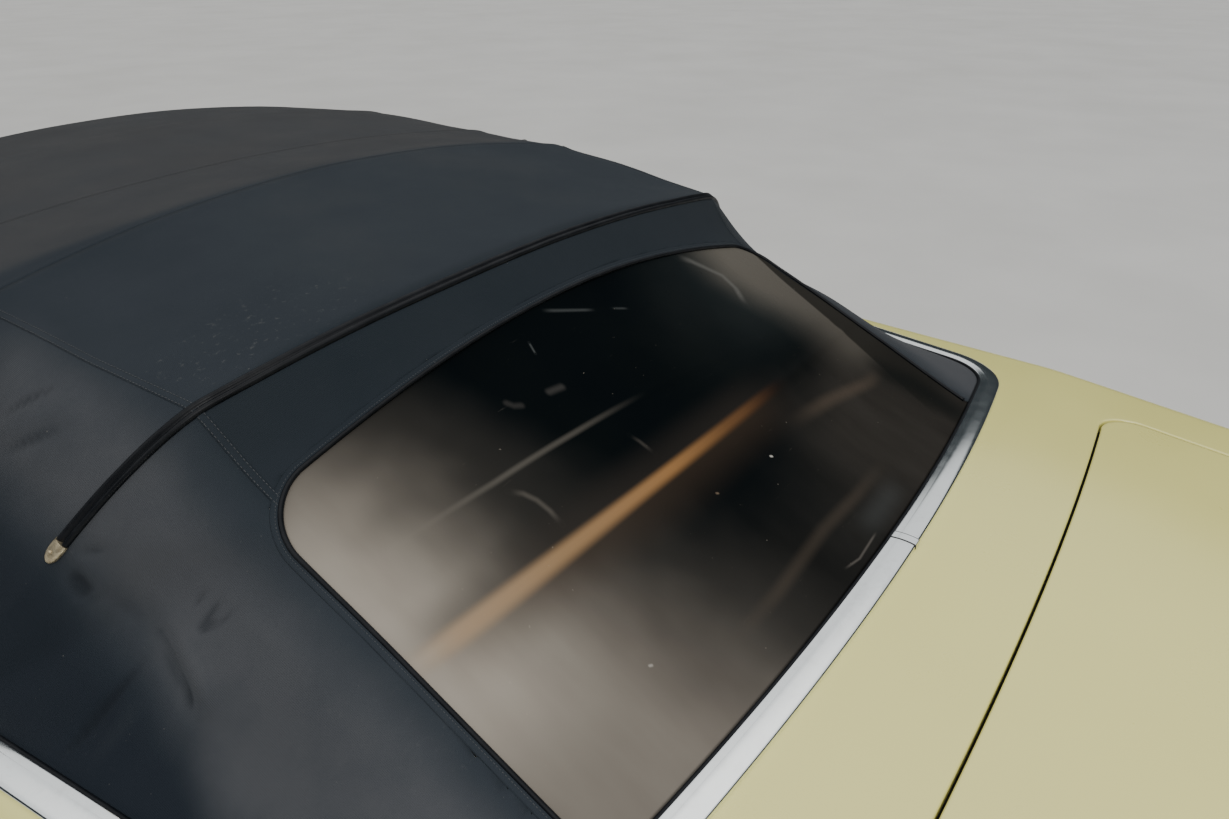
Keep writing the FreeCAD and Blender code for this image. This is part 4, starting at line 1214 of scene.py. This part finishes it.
def build_welt():
    line = welt_line()
    obj = new_object("welt_beads", *strip(line, WELT_PROFILE), WELT)
    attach(obj, "rear_hoop")
    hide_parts("welt")
    t, n, side = strip_frame(line)
    for end, out, name in ((0, -t[0], "right"), (-1, t[-1], "left")):
        p, up, s = line[end], n[end], side[end]
        rings = []
        for along, wide, high in np.divide(TIP_RINGS, 1000):
            q = settle(p + out * along, up)
            rings.append([q + s * wide * math.cos(a) + up * (high * math.sin(a) ** 0.7)
                          for a in np.linspace(0, math.pi, 15)])
        centre = settle(p + out * PIN_AT, up) + up * PIN_LIFT
        turns = np.linspace(0, math.tau, 13)[:-1]
        pin = np.array([[centre + (out * math.cos(a) + s * math.sin(a)) * radius + up * high for a in turns]
                        for radius, high in np.divide(PIN_RINGS, 1000)])
        pin_skin = (pin.reshape(-1, 3), grid_faces(*pin.shape[:2], closed=True))
        tip = new_object("welt_end_" + name, *merge(tube(rings), pin_skin), TIP)
        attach(tip, "rear_hoop")
        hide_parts("welt_tip_" + name)
        split_sharp(tip, 50)


# front half of the roof

def build_front_roof():
    """Canvas over the knee and over the front half of the roof, wrapped round the header."""
    hoops = [hoop("knee", 0.286), arch("middle"), arch("front"), arch("header")]
    rows = rows_between(hoops, [KNEE_ROWS, 26, 22])
    # only the lower ends of the side lines are needed
    ends = rows[:, :SIDE_N + 1:SIDE_N // 2], rows[:, -SIDE_N - 1::SIDE_N // 2]
    rows = np.concatenate([ends[0], rows[:, SIDE_N + 1:-SIDE_N - 1], ends[1]], 1)
    amount = ripple(rows) * 0.8 + ridge(rows, KNEE_ANGLE, *KNEE_RIDGE)
    for name in ("middle", "front"):
        amount += 0.002 * np.exp(-((rows[..., 1] - ARCHES[name][0]) / 0.012) ** 2)
    rows = rows + grid_normals(rows) * amount[..., None]
    wrap = np.divide([(0, 0, 0), (0, 4, -2), (0, 6, -7), (0, 6, -22), (0, 0, -26)], 1000)
    knee, front = rows[:KNEE_ROWS + 1], join(rows[KNEE_ROWS:], rows[-1] + wrap[:, None])
    cover = new_object("knee_cover", *sheet_of(knee, flip=True), CANVAS)
    roof = new_object("front_cover", *sheet_of(front, flip=True), CANVAS)
    for obj in (cover, roof):
        obj.data.materials.append(LINING)
        thicken(obj, CANVAS_T).material_offset = 1
    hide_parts("roof_knee_cover")
    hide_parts("roof_front_cover")
    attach(roof, "front_frame")
    blend_by(cover)
    return cover, roof


build_deck()
build_lid()
build_mouldings()
COVER = build_rear_cover()
PLASTIC = build_window()
build_hem()
build_seams()
build_belt_piping()
build_welt()
KNEE_COVER, FRONT_COVER = build_front_roof()

# solids that show as they are: material, bevel, names
SHOWN_SOLIDS = (
    (TIMBER, 0.0, "tack_rail"),
    (PAINT, 0.0, "lid_frame"),
    (PAINT, 0.0008, "lid_arm_left lid_arm_right"),
    (ZINC, 0.0008, "pivot_bracket_left pivot_bracket_right latch_left latch_right"),
    (ZINC, 0.0005, "lid_hinge_left lid_hinge_right locating_pin_left locating_pin_right"),
    (ENAMEL, 0.001, "main_link_left main_link_right knee_bow rear_bow side_rail_left side_rail_right"),
    (ENAMEL, 0.001, "middle_bow front_bow header_bow"),
    (SEAL_AND_SHADE, 0.001, "header_seal"),
    (SEAL_AND_SHADE, 0.0015, "side_seal_left side_seal_right"),
)
for mat, bevel, names in SHOWN_SOLIDS:
    for name in names.split():
        shade(name, mat, bevel)


# stage, light and camera

def build_stage():
    sh = Shader("floor", (0.62, 0.61, 0.58), 0.75)
    sh.color = sh.noise(1.3, 5).ramp((0.3, (0.5, 0.495, 0.475)), (0.7, (0.56, 0.555, 0.535)))
    corners = [(x, y, FLOOR_Z) for x, y in ((-60, -60), (60, -60), (60, 60), (-60, 60))]
    floor = new_object("floor", corners, [(0, 1, 2, 3)], sh.made())


def area_light(name, place, target, size, power, color):
    data = bpy.data.lights.new(name, "AREA")
    data.shape = "RECTANGLE"
    data.size, data.size_y = size
    data.energy = power
    data.color = color
    obj = bpy.data.objects.new(name, data)
    bpy.context.scene.collection.objects.link(obj)
    obj.location = place
    obj.rotation_euler = (Vector(target) - Vector(place)).to_track_quat("-Z", "Y").to_euler()


# colour of the world over the height of the direction, which is 1 overhead
SKY = (
    (0.0, (0.02, 0.022, 0.024)), (0.44, (0.02, 0.025, 0.028)), (0.475, (0.5, 0.51, 0.52)),
    (0.64, (0.56, 0.57, 0.58)), (0.82, (1.0, 1.0, 0.99)), (1.0, (1.0, 1.0, 0.99)),
)
SKY_STRENGTH = 1.66


def build_light():
    """Soft sky that is bright overhead and darker round the horizon, with two broad panels."""
    world = bpy.data.worlds.new("studio")
    bpy.context.scene.world = world
    world.use_nodes = True
    tree = world.node_tree
    split = tree.nodes.new("ShaderNodeSeparateXYZ")
    tree.links.new(tree.nodes.new("ShaderNodeTexCoord").outputs["Generated"], split.inputs["Vector"])
    back = tree.nodes["Background"]
    feed(Field(tree, split.outputs["Z"]).ramp(*SKY), back.inputs["Color"])
    back.inputs["Strength"].default_value = SKY_STRENGTH
    area_light("behind", (-0.9, -2.6, 1.9), (0.1, -0.7, 0.1), (1.8, 1.2), 44, (1.0, 0.985, 0.95))
    area_light("side", (-3.4, 0.8, 2.4), (0, -0.1, 0.2), (2.4, 1.6), 8, (1.0, 0.99, 0.97))


# pinhole view of the photograph: place, heading from +Y towards +X, tilt and roll in degrees
CAMERA_AT = (-0.7472, -0.8338, 0.7748)
HEADING, TILT, ROLL = 52.81, 29.55, -0.31
LENS = 36.0 * 820.0 / 1229.0


def build_camera():
    yaw, pitch, roll = (math.radians(a) for a in (HEADING, TILT, ROLL))
    fwd = Vector((math.sin(yaw) * math.cos(pitch), math.cos(yaw) * math.cos(pitch), -math.sin(pitch)))
    right = fwd.cross(Vector((0, 0, 1))).normalized()
    up = right.cross(fwd)
    r2 = right * math.cos(roll) + up * math.sin(roll)
    u2 = up * math.cos(roll) - right * math.sin(roll)
    data = bpy.data.cameras.new("camera")
    data.sensor_width = 36.0
    data.lens = LENS
    data.clip_start = 0.02
    obj = bpy.data.objects.new("camera", data)
    bpy.context.scene.collection.objects.link(obj)
    m = Matrix((r2, u2, -fwd)).transposed().to_4x4()
    m.translation = Vector(CAMERA_AT)
    obj.matrix_world = m
    bpy.context.scene.camera = obj


build_stage()
build_light()
build_camera()
